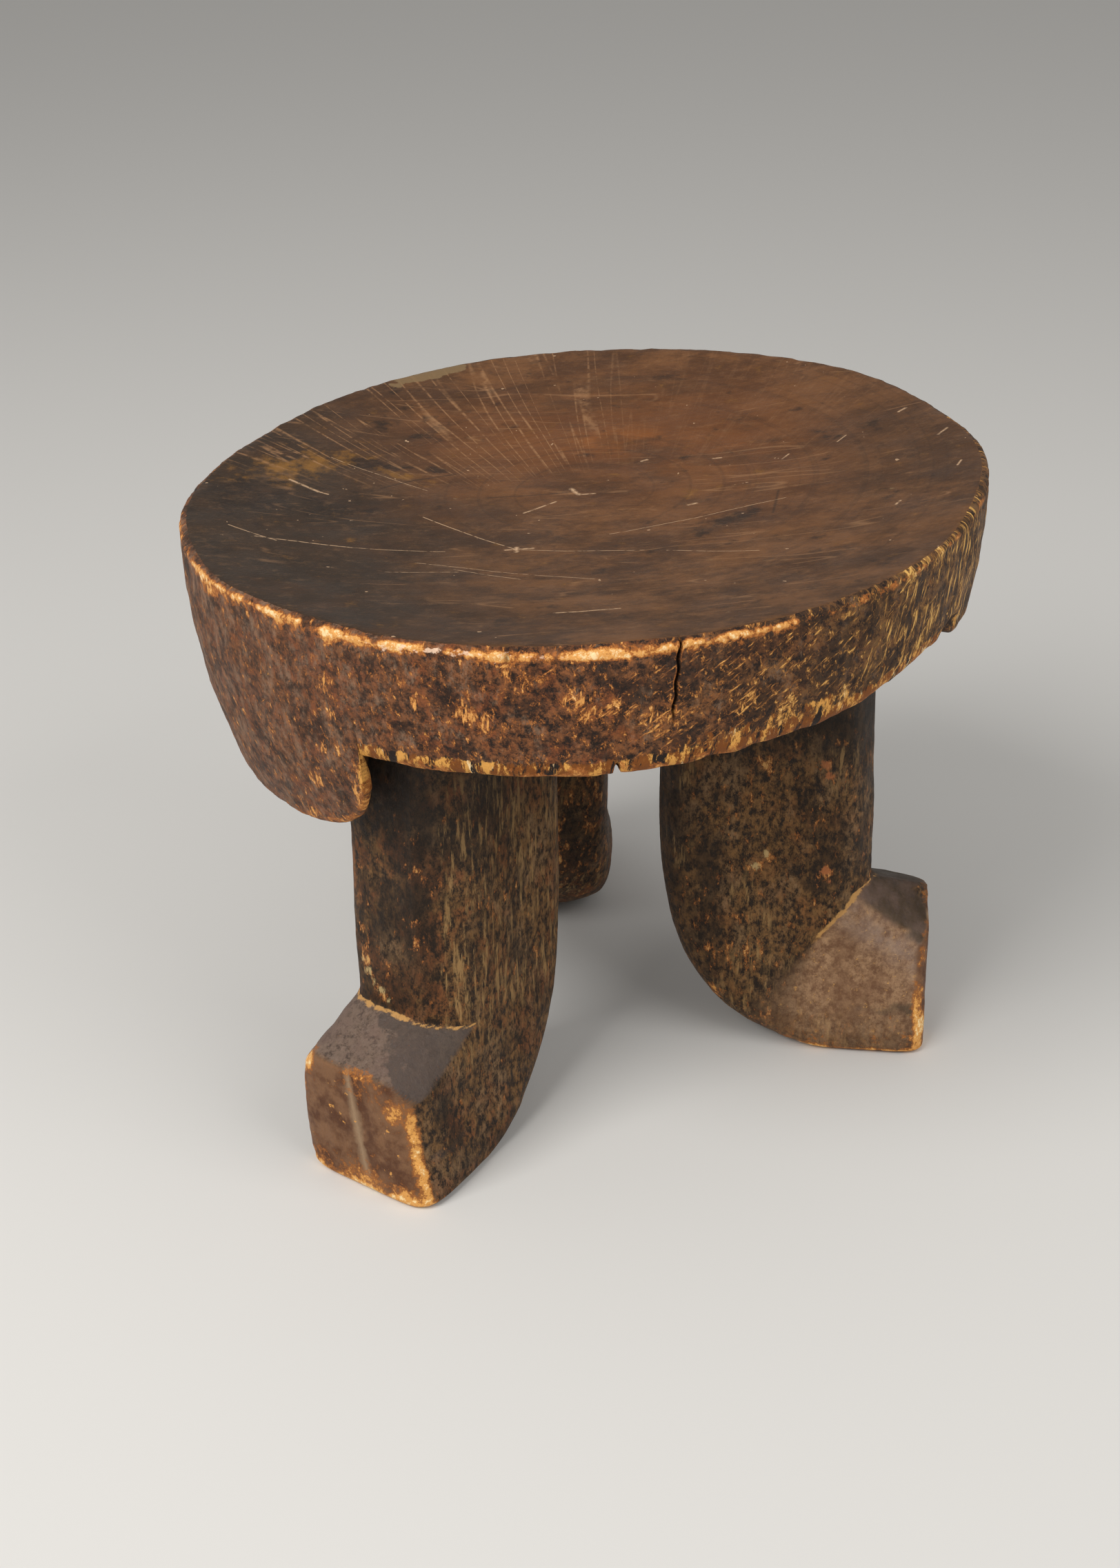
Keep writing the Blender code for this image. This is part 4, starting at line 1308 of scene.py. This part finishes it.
def dish_ground(tree, here):
    """Clouded umber, warm behind the pith with a painted warm reflection, a painted dim reflection at the
    left and front, and dark and ochre stains.
    """
    c = SEAT_COLOURS
    clouds = patches(tree, stretched(tree, here, (0.6, 1.0, 1.0)), 42.0, 0.38, 0.62, 9.0, 0.78)
    colour = blended(tree, clouds, c["umber"], c["umber_dark"])
    # Warm red-brown wood behind the pith, partly a painted warm reflection.
    colour = washed(tree, colour, kept(tree, "warm_wood_and_reflection"), 0.70, c["red_brown"])
    embers = times(tree, kept(tree, "orange"), patches(tree, here, 60.0, 0.36, 0.62))
    colour = blended(tree, embers, colour, c["orange"])
    # Painted dim reflection over the left and the front of the dish.
    colour = washed(tree, colour, kept(tree, "dim_reflection"), 0.88, c["dim_reflection"])
    stains = patches(tree, stretched(tree, here, (0.5, 1.0, 1.0), 0.15), 34.0, 0.48, 0.64, 7.0, 0.7)
    colour = washed(tree, colour, stains, 0.6, c["umber_dark"])
    dark = patches(tree, here, 90.0, 0.50, 0.66, 5.0, 0.6, raised(tree, "dark", 0.30, -0.10))
    colour = washed(tree, colour, dark, 0.75, c["black_brown"])
    ochre = patches(tree, here, 110.0, 0.48, 0.74, 6.0, 0.65, raised(tree, "ochre", 0.26, -0.12))
    return washed(tree, colour, ochre, 0.85, c["ochre"])


def dish_grain(tree, here, colour):
    """Brushed streaks, fine grain, the fan of rays, arcs and growth rings over the dish."""
    c = SEAT_COLOURS
    brushed = patches(tree, stretched(tree, here, (20.0, 460.0, 20.0), -0.10), 1.0, 0.42, 0.62, 6.0, 0.75)
    colour = washed(tree, colour, brushed, 0.10, c["black_brown"])
    grain = patches(tree, stretched(tree, here, (0.6, 1.0, 1.0)), 240.0, 0.50, 0.68, 8.0, 0.84)
    colour = washed(tree, colour, grain, 0.18, c["ray"])
    fan = log_end(tree, here, RAY_CENTRE, 36.0, 8.0)
    rays = hairs(tree, fan["Ray vector"], 1.0, 0.04, 0.0)
    ray_room = times(tree, kept(tree, "rays"), patches(tree, here, 46.0, 0.30, 0.52, 3.0))
    rays = times(tree, times(tree, rays, ray_room), patches(tree, here, 300.0, 0.30, 0.60, 2.0))
    colour = washed(tree, colour, rays, 0.75, c["ray"])
    arcs = hairs(tree, stretched(tree, here, (9.0, 75.0, 9.0), 0.10), 1.0, 0.012, 1.0)
    arcs = times(tree, arcs, patches(tree, here, 36.0, 0.50, 0.60, 3.0))
    colour = washed(tree, colour, arcs, 0.4, c["ray"])
    distance = log_end(tree, here, PITH, 21.0, 5.0)["Distance"]
    distance = add(tree, "ShaderNodeCombineXYZ", {0: distance}).outputs[0]
    rings = patches(tree, distance, 210.0, 0.52, 0.66, 3.0)
    return washed(tree, colour, rings, 0.2, c["black_brown"]), rays


def dish_marks(tree, here, colour):
    """The chip at the back, the scratches and the small nicks over the dish."""
    c = SEAT_COLOURS
    chip = patches(tree, here, 120.0, 0.46, 0.54, 5.0, 0.6, raised(tree, "back_chip", 0.5, -0.25))
    colour = washed(tree, colour, chip, 0.85, c["chip"])
    marks = times(tree, scratched(tree, here, PALE_SCRATCHES), patches(tree, here, 420.0, 0.30, 0.54, 3.0))
    colour = washed(tree, colour, marks, 0.85, c["scratch"])
    colour = washed(tree, colour, scratched(tree, here, DARK_SCRATCHES), 0.6, c["black_brown"])
    nicks = patches(tree, here, 230.0, 0.74, 0.76, 2.0)
    return washed(tree, colour, nicks, 0.6, c["scratch"]), marks


def make_dish_wood(name):
    """The polished end grain of the dish."""
    material = bpy.data.materials.new(name)
    tree, here = start_wood(material)
    colour, rays = dish_grain(tree, here, dish_ground(tree, here))
    colour, marks = dish_marks(tree, here, colour)
    roughness = uneven_roughness(tree, here, 55.0, 0.42, 0.56)
    fine = patches(tree, here, 650.0, 0.25, 0.75, 4.0)
    height = maths(tree, "MULTIPLY_ADD", maths(tree, "MAXIMUM", marks, rays), -0.6, fine)
    finish_wood(tree, colour, roughness, height, 0.25, 0.0004, 0.26)
    return material


dish_wood = make_dish_wood("old_dish_wood")
print("dish wood has", len(dish_wood.node_tree.nodes), "nodes")

# %% The wall's crust
# Along the wall, 0 is at the front, and the right-hand side is positive, in metres.
BACK_FADE = (0.42, 0.18)


def side_mask(tree, along_wall, off_back, start, end, most=1.0):
    """A mask from 0 at start to most at end along the wall, faded out at the back."""
    return times(tree, off_back, ranged(tree, along_wall, start, end, 0.0, most))


def wall_crust(tree, here, along_wall, off_back):
    """Dark and red-brown crust, with a painted sheen, grey scuffs and painted glints at the left, and olive
    at the right.
    """
    c = SEAT_COLOURS
    speckle = patches(tree, here, 320.0, 0.41, 0.60, 8.0, 0.80)
    colour = blended(tree, speckle, c["crust"], c["brown"])
    reds = patches(tree, here, 75.0, 0.48, 0.60, 6.0, 0.66, raised(tree, "flaked", 0.06))
    colour = washed(tree, colour, times(tree, reds, speckle), 0.6, c["red"])
    left_side = side_mask(tree, along_wall, off_back, -0.02, -0.13)
    # A painted sheen over the left of the wall.
    colour = washed(tree, colour, left_side, 0.38, c["left_sheen"])
    # Grey scuffs, partly painted glints.
    scuffs_and_glints = patches(tree, stretched(tree, here, (1.0, 1.0, 0.5)), 170.0, 0.50, 0.66, 8.0, 0.82,
                     lifted(tree, left_side, 0.05, -0.01))
    colour = washed(tree, colour, scuffs_and_glints, 0.6, c["grey"])
    olive_side = side_mask(tree, along_wall, off_back, 0.0, 0.10, 0.85)
    colour = blended(tree, times(tree, olive_side, speckle), colour, c["olive"])
    right_lift = side_mask(tree, along_wall, off_back, -0.02, 0.05, 0.08)
    crust = patches(tree, here, 66.0, 0.50, 0.60, 8.0, 0.72, right_lift)
    return washed(tree, colour, crust, 0.72, c["crust"]), speckle, left_side, olive_side


# %% The wall's gold
# Each kind of stroke has its scale along and up the wall, its turn, the limits of its amber and of
# its gold, its detail and its roughness.
WALL_STROKES = {
    "slanting": ((150.0, 560.0, 1.0), -0.62, (0.54, 0.61), (0.60, 0.66), 5.0, 0.68),
    "steep": ((480.0, 80.0, 1.0), 0.22, (0.53, 0.60), (0.58, 0.65), 5.0, 0.66),
    "comb": ((640.0, 170.0, 1.0), 0.12, (0.50, 0.58), (0.56, 0.61), 6.0, 0.68),
}


def wall_gold(tree, sheet, along_wall, off_back, left_side):
    """Masks of the amber, the gold inside it and the palest flecks."""
    flecks = stretched(tree, sheet, (390.0, 210.0, 1.0), -0.25)
    lift = maths(tree, "MULTIPLY_ADD", left_side, -0.005, raised(tree, "flaked", 0.06, -0.005))
    amber, gold, core = (patches(tree, flecks, 1.0, start, end, 8.0, 0.76, lift)
                         for start, end in ((0.545, 0.60), (0.60, 0.64), (0.66, 0.70)))
    slanting = lifted(tree, side_mask(tree, along_wall, off_back, -0.06, 0.04), 0.105, -0.12)
    lifts = {
        "slanting": maths(tree, "ADD", slanting, raised(tree, "flaked", 0.10)),
        "steep": lifted(tree, side_mask(tree, along_wall, off_back, 0.07, 0.12), 0.16, -0.14),
        "comb": raised(tree, "flaked", 0.19, -0.13),
    }
    for name, (scale, turn, amber_limits, gold_limits, detail, roughness) in WALL_STROKES.items():
        strokes = stretched(tree, sheet, scale, turn)
        more_amber = patches(tree, strokes, 1.0, *amber_limits, detail, roughness, lifts[name])
        more_gold = patches(tree, strokes, 1.0, *gold_limits, detail, roughness, lifts[name])
        amber = maths(tree, "MAXIMUM", amber, more_amber)
        gold = maths(tree, "MAXIMUM", gold, more_gold)
    return amber, gold, core


# %% The bevel, and the wall put together
def bevel_colour(tree, sheet, along_wall):
    """Ochre flutes with yellow in them, pale strokes of painted highlight and dark gaps."""
    c = SEAT_COLOURS
    flutes = stretched(tree, sheet, (190.0, 75.0, 1.0))
    more_at_left = ranged(tree, along_wall, -0.05, 0.0, 0.01, 0.0)
    yellow = patches(tree, flutes, 1.0, 0.50, 0.555, 8.0, 0.78, more_at_left)
    colour = blended(tree, yellow, c["deep_ochre"], c["yellow"])
    # The pale strokes are painted highlights on the flutes.
    strokes = patches(tree, stretched(tree, sheet, (210.0, 45.0, 1.0), -0.1), 1.0, 0.59, 0.635, 7.0, 0.72)
    colour = blended(tree, strokes, colour, c["pale"])
    gaps = patches(tree, stretched(tree, sheet, (190.0, 40.0, 1.0), 0.12), 1.0, 0.53, 0.57, 6.0, 0.72)
    return blended(tree, gaps, colour, c["crust"])


def wall_colour(tree, here):
    """Colour of the wall and a height for its bumps."""
    c = SEAT_COLOURS
    unrolled = add(tree, "ShaderNodeGroup", {"Vector": here}, node_tree=WALL_SHEET)
    sheet, along_wall = unrolled.outputs["Sheet"], unrolled.outputs["Along"]
    off_back = ranged(tree, maths(tree, "ABSOLUTE", along_wall), *BACK_FADE)
    colour, speckle, left_side, olive_side = wall_crust(tree, here, along_wall, off_back)
    amber, gold, core = wall_gold(tree, sheet, along_wall, off_back, left_side)
    colour = washed(tree, colour, amber, 0.8, blended(tree, olive_side, c["amber"], c["olive_amber"]))
    colour = blended(tree, gold, colour, blended(tree, olive_side, c["gold"], c["olive_gold"]))
    colour = blended(tree, core, colour, c["pale"])
    teeth = stretched(tree, sheet, (330.0, 120.0, 1.0), 0.08)
    band = patches(tree, teeth, 1.0, 0.44, 0.52, 7.0, 0.74, raised(tree, "band", 0.30, -0.19))
    colour = blended(tree, band, colour, bevel_colour(tree, sheet, along_wall))
    return colour, maths(tree, "ADD", speckle, maths(tree, "MAXIMUM", amber, band))


# %% The rubbed rim and the wall's material
def rubbed(tree, here, colour, amount, c):
    """Lay rubbed amber, gold and pale wood over a colour, each ragged and inside the last."""
    lift = lifted(tree, amount, 0.52, -0.31)
    amber, gold, pale = (patches(tree, here, 380.0, start, end, 7.0, 0.76, lift)
                         for start, end in ((0.41, 0.53), (0.54, 0.63), (0.69, 0.78)))
    colour = washed(tree, colour, amber, 0.85, c["amber"])
    return blended(tree, pale, blended(tree, gold, colour, c["gold"]), c["pale"])


def make_wall_wood(material):
    """The rest of the seat: lip, wall, bevel, underside and cracks."""
    tree, here = start_wood(material)
    c = SEAT_COLOURS
    colour, side_height = wall_colour(tree, here)
    # The lip gets the same painted dim reflection as the dish.
    lip = washed(tree, c["umber"], kept(tree, "dim_reflection"), 0.85, c["dim_reflection"])
    lip_share = patches(tree, here, 340.0, 0.46, 0.56, 5.0, 0.7, raised(tree, "dish", 0.6, -0.3))
    colour = blended(tree, lip_share, colour, lip)
    worn = ranged(tree, patches(tree, here, 50.0, 0.38, 0.60, 5.0), 0.0, 1.0, 0.55, 1.25)
    ragged = ranged(tree, patches(tree, here, 150.0, 0.34, 0.60, 5.0, 0.7), 0.0, 1.0, 0.68, 1.18)
    rub = times(tree, kept(tree, "rub"), maths(tree, "MULTIPLY", worn, ragged))
    colour = rubbed(tree, here, colour, rub, c)
    # Painted highlight on the front of the rim.
    painted_highlight = patches(tree, stretched(tree, here, (0.6, 1.0, 1.0)), 420.0, 0.56, 0.66, 4.0, 0.6,
                     raised(tree, "rim_highlight", 0.30, -0.2))
    colour = washed(tree, colour, painted_highlight, 0.8, c["painted_highlight"])
    chip = patches(tree, here, 160.0, 0.46, 0.56, 5.0, 0.6, raised(tree, "back_chip", 0.5, -0.25))
    colour = blended(tree, chip, colour, c["chip"])
    under = blended(tree, patches(tree, here, 120.0, 0.40, 0.62, 6.0), c["crust"], c["under"])
    colour = blended(tree, kept(tree, "under"), colour, under)
    # The cracks and chips are painted black as shade.
    colour = blended(tree, kept(tree, "hollow"), colour, c["crack_shade"])
    roughness = uneven_roughness(tree, here, 55.0, 0.48, 0.66)
    height = maths(tree, "ADD", side_height, patches(tree, here, 650.0, 0.25, 0.75, 4.0))
    finish_wood(tree, colour, roughness, height, 0.5, 0.0006, 0.26)


make_wall_wood(seat_wood)
print("wall wood has", len(seat_wood.node_tree.nodes), "nodes")

# %% [markdown]
# ## The legs' wood
# The legs are darker and drier than the seat. Upright olive streaks follow the grain, red-brown
# shows on the outer faces, and where the crust is knocked off there are pale chips and orange
# ones. The tops of the feet are polished and carry a painted sheen: warm grey with a slate patch on
# the front and back feet, and dark brown on the right one, whose near side is painted pale where it
# faces the light. Painted shade darkens the shafts under the seat. The end faces are brown with one
# pale streak, and the edges round them are rubbed golden.

# %% Colours of the legs
LEG_COLOURS = {
    "dark": paint(32, 21, 12), "brown": paint(124, 89, 51), "red": paint(128, 70, 36),
    "grey_brown": paint(134, 108, 80), "olive": paint(158, 124, 78), "tan": paint(204, 154, 90),
    "under_seat_shade": paint(20, 12, 5), "pale_chip": paint(186, 160, 110), "orange_chip": paint(176, 106, 60),
    "orange": paint(164, 96, 42), "amber": paint(160, 98, 44), "gold": paint(224, 160, 82),
    "pale": paint(253, 222, 164), "top_sheen": paint(118, 99, 86), "top_sheen_dark": paint(66, 54, 47),
    "top_sheen_pink": paint(114, 92, 83), "top_brown": paint(64, 50, 34), "slate": paint(74, 65, 60),
    "sheen": paint(160, 138, 124), "near": paint(168, 132, 98), "near_red": paint(112, 78, 54),
    "end": paint(126, 90, 62), "end_dark": paint(86, 52, 31), "end_streak": paint(160, 132, 102),
}
# For each leg, how red it is, how much more it is speckled and the colour of its foot's top.
LEG_LOOKS = {
    "front": (0.9, -0.02, "top_sheen"),
    "right": (0.35, -0.008, "top_brown"),
    "back": (1.5, 0.02, "top_sheen"),
}
print("colours of the legs:", len(LEG_COLOURS))


# %% The shaft
def leg_crust(tree, here, redness):
    """Mottled dark crust with red, grey and olive in it, and the masks that its bumps need."""
    c = LEG_COLOURS
    outer = kept(tree, "outer_face")
    mottled = patches(tree, stretched(tree, here, (1.0, 1.0, 0.62)), 380.0, 0.41, 0.61, 8.0, 0.80)
    colour = blended(tree, mottled, c["dark"], c["brown"])
    reds = patches(tree, here, 62.0, 0.46, 0.60, 6.0, 0.70, lifted(tree, outer, 0.06, -0.03))
    reds = times(tree, times(tree, reds, redness), times(tree, mottled, 0.8))
    colour = blended(tree, reds, colour, c["red"])
    greys = patches(tree, stretched(tree, here, (1.0, 1.0, 0.5)), 60.0, 0.48, 0.62, 7.0, 0.72)
    colour = washed(tree, colour, times(tree, greys, mottled), 0.6, c["grey_brown"])
    darks = patches(tree, stretched(tree, here, (1.0, 1.0, 0.6)), 36.0, 0.46, 0.60, 8.0, 0.74,
                    lifted(tree, outer, 0.04))
    colour = washed(tree, colour, darks, 0.72, c["dark"])
    # Painted shade on the shaded stretches of the shaft.
    colour = washed(tree, colour, kept(tree, "shaded"), 0.80, c["dark"])
    streak_room = patches(tree, here, 26.0, 0.44, 0.58, 3.0, lift=raised(tree, "streaky", 0.16, -0.07))
    streaks = patches(tree, stretched(tree, here, (1.0, 1.0, 0.14)), 430.0, 0.51, 0.60, 6.0, 0.74,
                      lifted(tree, outer, -0.10))
    streaks = times(tree, streaks, streak_room)
    return washed(tree, colour, streaks, 0.80, c["olive"]), maths(tree, "ADD", mottled, streaks)


def leg_chips(tree, here, colour, lift):
    """Orange and tan specks, then the orange and pale chips, then the painted shade under the seat."""
    c = LEG_COLOURS
    specks = stretched(tree, here, (1.0, 1.0, 0.45), 0.7)
    orange = patches(tree, specks, 320.0, 0.575, 0.625, 8.0, 0.78, lift)
    tan = patches(tree, specks, 320.0, 0.625, 0.67, 8.0, 0.78, lift)
    colour = washed(tree, colour, orange, 0.75, c["orange"])
    colour = blended(tree, tan, colour, c["tan"])
    for name in ("orange_chip", "pale_chip"):
        chip = patches(tree, specks, 360.0, 0.44, 0.56, 7.0, 0.74, raised(tree, name, 0.46, -0.30))
        colour = washed(tree, colour, chip, 0.80, c[name])
    # Painted shade under the seat.
    return washed(tree, colour, kept(tree, "shade_top"), 0.88, c["under_seat_shade"])


# %% The foot
def near_side(tree, here, colour):
    """The right foot's near side, painted pale where it faces the light and mottled red and tan."""
    c = LEG_COLOURS
    near = blended(tree, patches(tree, here, 260.0, 0.38, 0.62, 9.0, 0.82), c["near_red"], c["near"])
    near = washed(tree, near, patches(tree, here, 60.0, 0.46, 0.60, 7.0, 0.7), 0.5, c["near_red"])
    near = blended(tree, patches(tree, here, 330.0, 0.60, 0.66, 7.0, 0.76), near, c["tan"])
    # The near side is painted pale where it faces the light.
    return blended(tree, kept(tree, "near_face"), colour, near)


def sheen_on_top(tree, here, colour, foot_top):
    """The painted sheen on top of a foot with its slate patch, and the painted band of sheen below its edge
    on the right foot.
    """
    c = LEG_COLOURS
    # The foot's top gets a painted sheen, darker and pinker in patches.
    top_sheen = blended(tree, patches(tree, here, 420.0, 0.46, 0.66, 7.0, 0.8), c[foot_top], c["top_sheen_dark"])
    top_sheen = washed(tree, top_sheen, patches(tree, here, 46.0, 0.48, 0.66, 5.0), 0.55, c["top_sheen_pink"])
    slate = patches(tree, here, 130.0, 0.44, 0.56, 5.0, 0.6, raised(tree, "slate", 0.40, -0.22))
    top_sheen = washed(tree, top_sheen, slate, 0.75, c["slate"])
    colour = washed(tree, colour, kept(tree, "top_facet"), 0.94, top_sheen)
    band = times(tree, kept(tree, "sheen_band"), patches(tree, here, 90.0, 0.30, 0.60, 6.0, 0.7))
    return washed(tree, colour, band, 0.55, c["sheen"])


def end_face(tree, here, colour, lift, streak_way, streak_place):
    """A foot's end: clouded brown, one pale streak that leans as it climbs, and golden specks."""
    c = LEG_COLOURS
    wood = blended(tree, patches(tree, here, 95.0, 0.38, 0.62, 6.0, 0.66), c["end"], c["end_dark"])
    across = vector_maths(tree, "DOT_PRODUCT", here, streak_way)
    height = add(tree, "ShaderNodeSeparateXYZ", {0: here}).outputs["Z"]
    leaning = maths(tree, "MULTIPLY_ADD", height, 0.16, across)
    offset = maths(tree, "ABSOLUTE", maths(tree, "SUBTRACT", leaning, streak_place))
    width = maths(tree, "MULTIPLY", patches(tree, here, 110.0, 0.10, 0.70, 4.0), 0.0042)
    wood = washed(tree, wood, ranged(tree, offset, width, 0.0), 0.9, c["end_streak"])
    wood = blended(tree, patches(tree, here, 260.0, 0.62, 0.68, 5.0, 0.66, lift), wood, c["gold"])
    return blended(tree, kept(tree, "end_face"), colour, wood)


# %% The legs' material
STREAK_PLACE = 3.0 * MM


def make_leg_wood(name, redness, speckled, foot_top, azimuth):
    """One leg's wood. The azimuth says where the end face's pale streak crosses the leg."""
    material = bpy.data.materials.new(name)
    tree, here = start_wood(material)
    c = LEG_COLOURS
    turn = math.radians(azimuth)
    lift = raised(tree, "chipped", 0.13, speckled)
    colour, crust_height = leg_crust(tree, here, redness)
    colour = leg_chips(tree, here, colour, lift)
    colour = sheen_on_top(tree, here, near_side(tree, here, colour), foot_top)
    colour = end_face(tree, here, colour, lift, (-math.sin(turn), math.cos(turn), 0.0), STREAK_PLACE)
    # The crease's tan line: worn wood with a painted highlight on its edge.
    crease = patches(tree, here, 260.0, 0.46, 0.62, 5.0, 0.7, raised(tree, "crease", 0.40, -0.24))
    colour = washed(tree, colour, crease, 0.8, c["tan"])
    colour = rubbed(tree, here, colour, kept(tree, "rub"), c)
    roughness = uneven_roughness(tree, here, 60.0, 0.46, 0.64)
    fine = patches(tree, stretched(tree, here, (1.0, 1.0, 0.4)), 620.0, 0.25, 0.75, 4.0)
    height = maths(tree, "ADD", crust_height, fine)
    finish_wood(tree, colour, roughness, height, 0.45, 0.0005, 0.24)
    return material


leg_woods = {name: make_leg_wood(name + "_leg_wood", *LEG_LOOKS[name], azimuth)
             for name, azimuth, stand_out, foot in LEGS}
print("leg woods:", {name: len(wood.node_tree.nodes) for name, wood in leg_woods.items()}, "nodes")


# %% Put the pieces in the scene
def put(name, mesh, materials, slot, *nodes):
    """A finished piece, in place of the CAD nodes that it stands for."""
    mesh.materials.clear()
    for material in materials:
        mesh.materials.append(material)
    mesh.shade_smooth()
    item = bpy.data.objects.new(name, mesh)
    bpy.context.scene.collection.objects.link(item)
    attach(item, "root")
    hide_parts(*nodes)


put("carved_seat", seat_mesh, (seat_wood, dish_wood), "seat_wood", "seat", "tongue")
inside = np.array([along[list(face.vertices)].mean() < DISH_END for face in seat_mesh.polygons])
seat_mesh.polygons.foreach_set("material_index", inside.astype(np.int32))
for name, (mesh, known) in leg_parts.items():
    put(name + "_leg", mesh, (leg_woods[name],), "leg_wood", "leg_" + name, "foot_" + name)
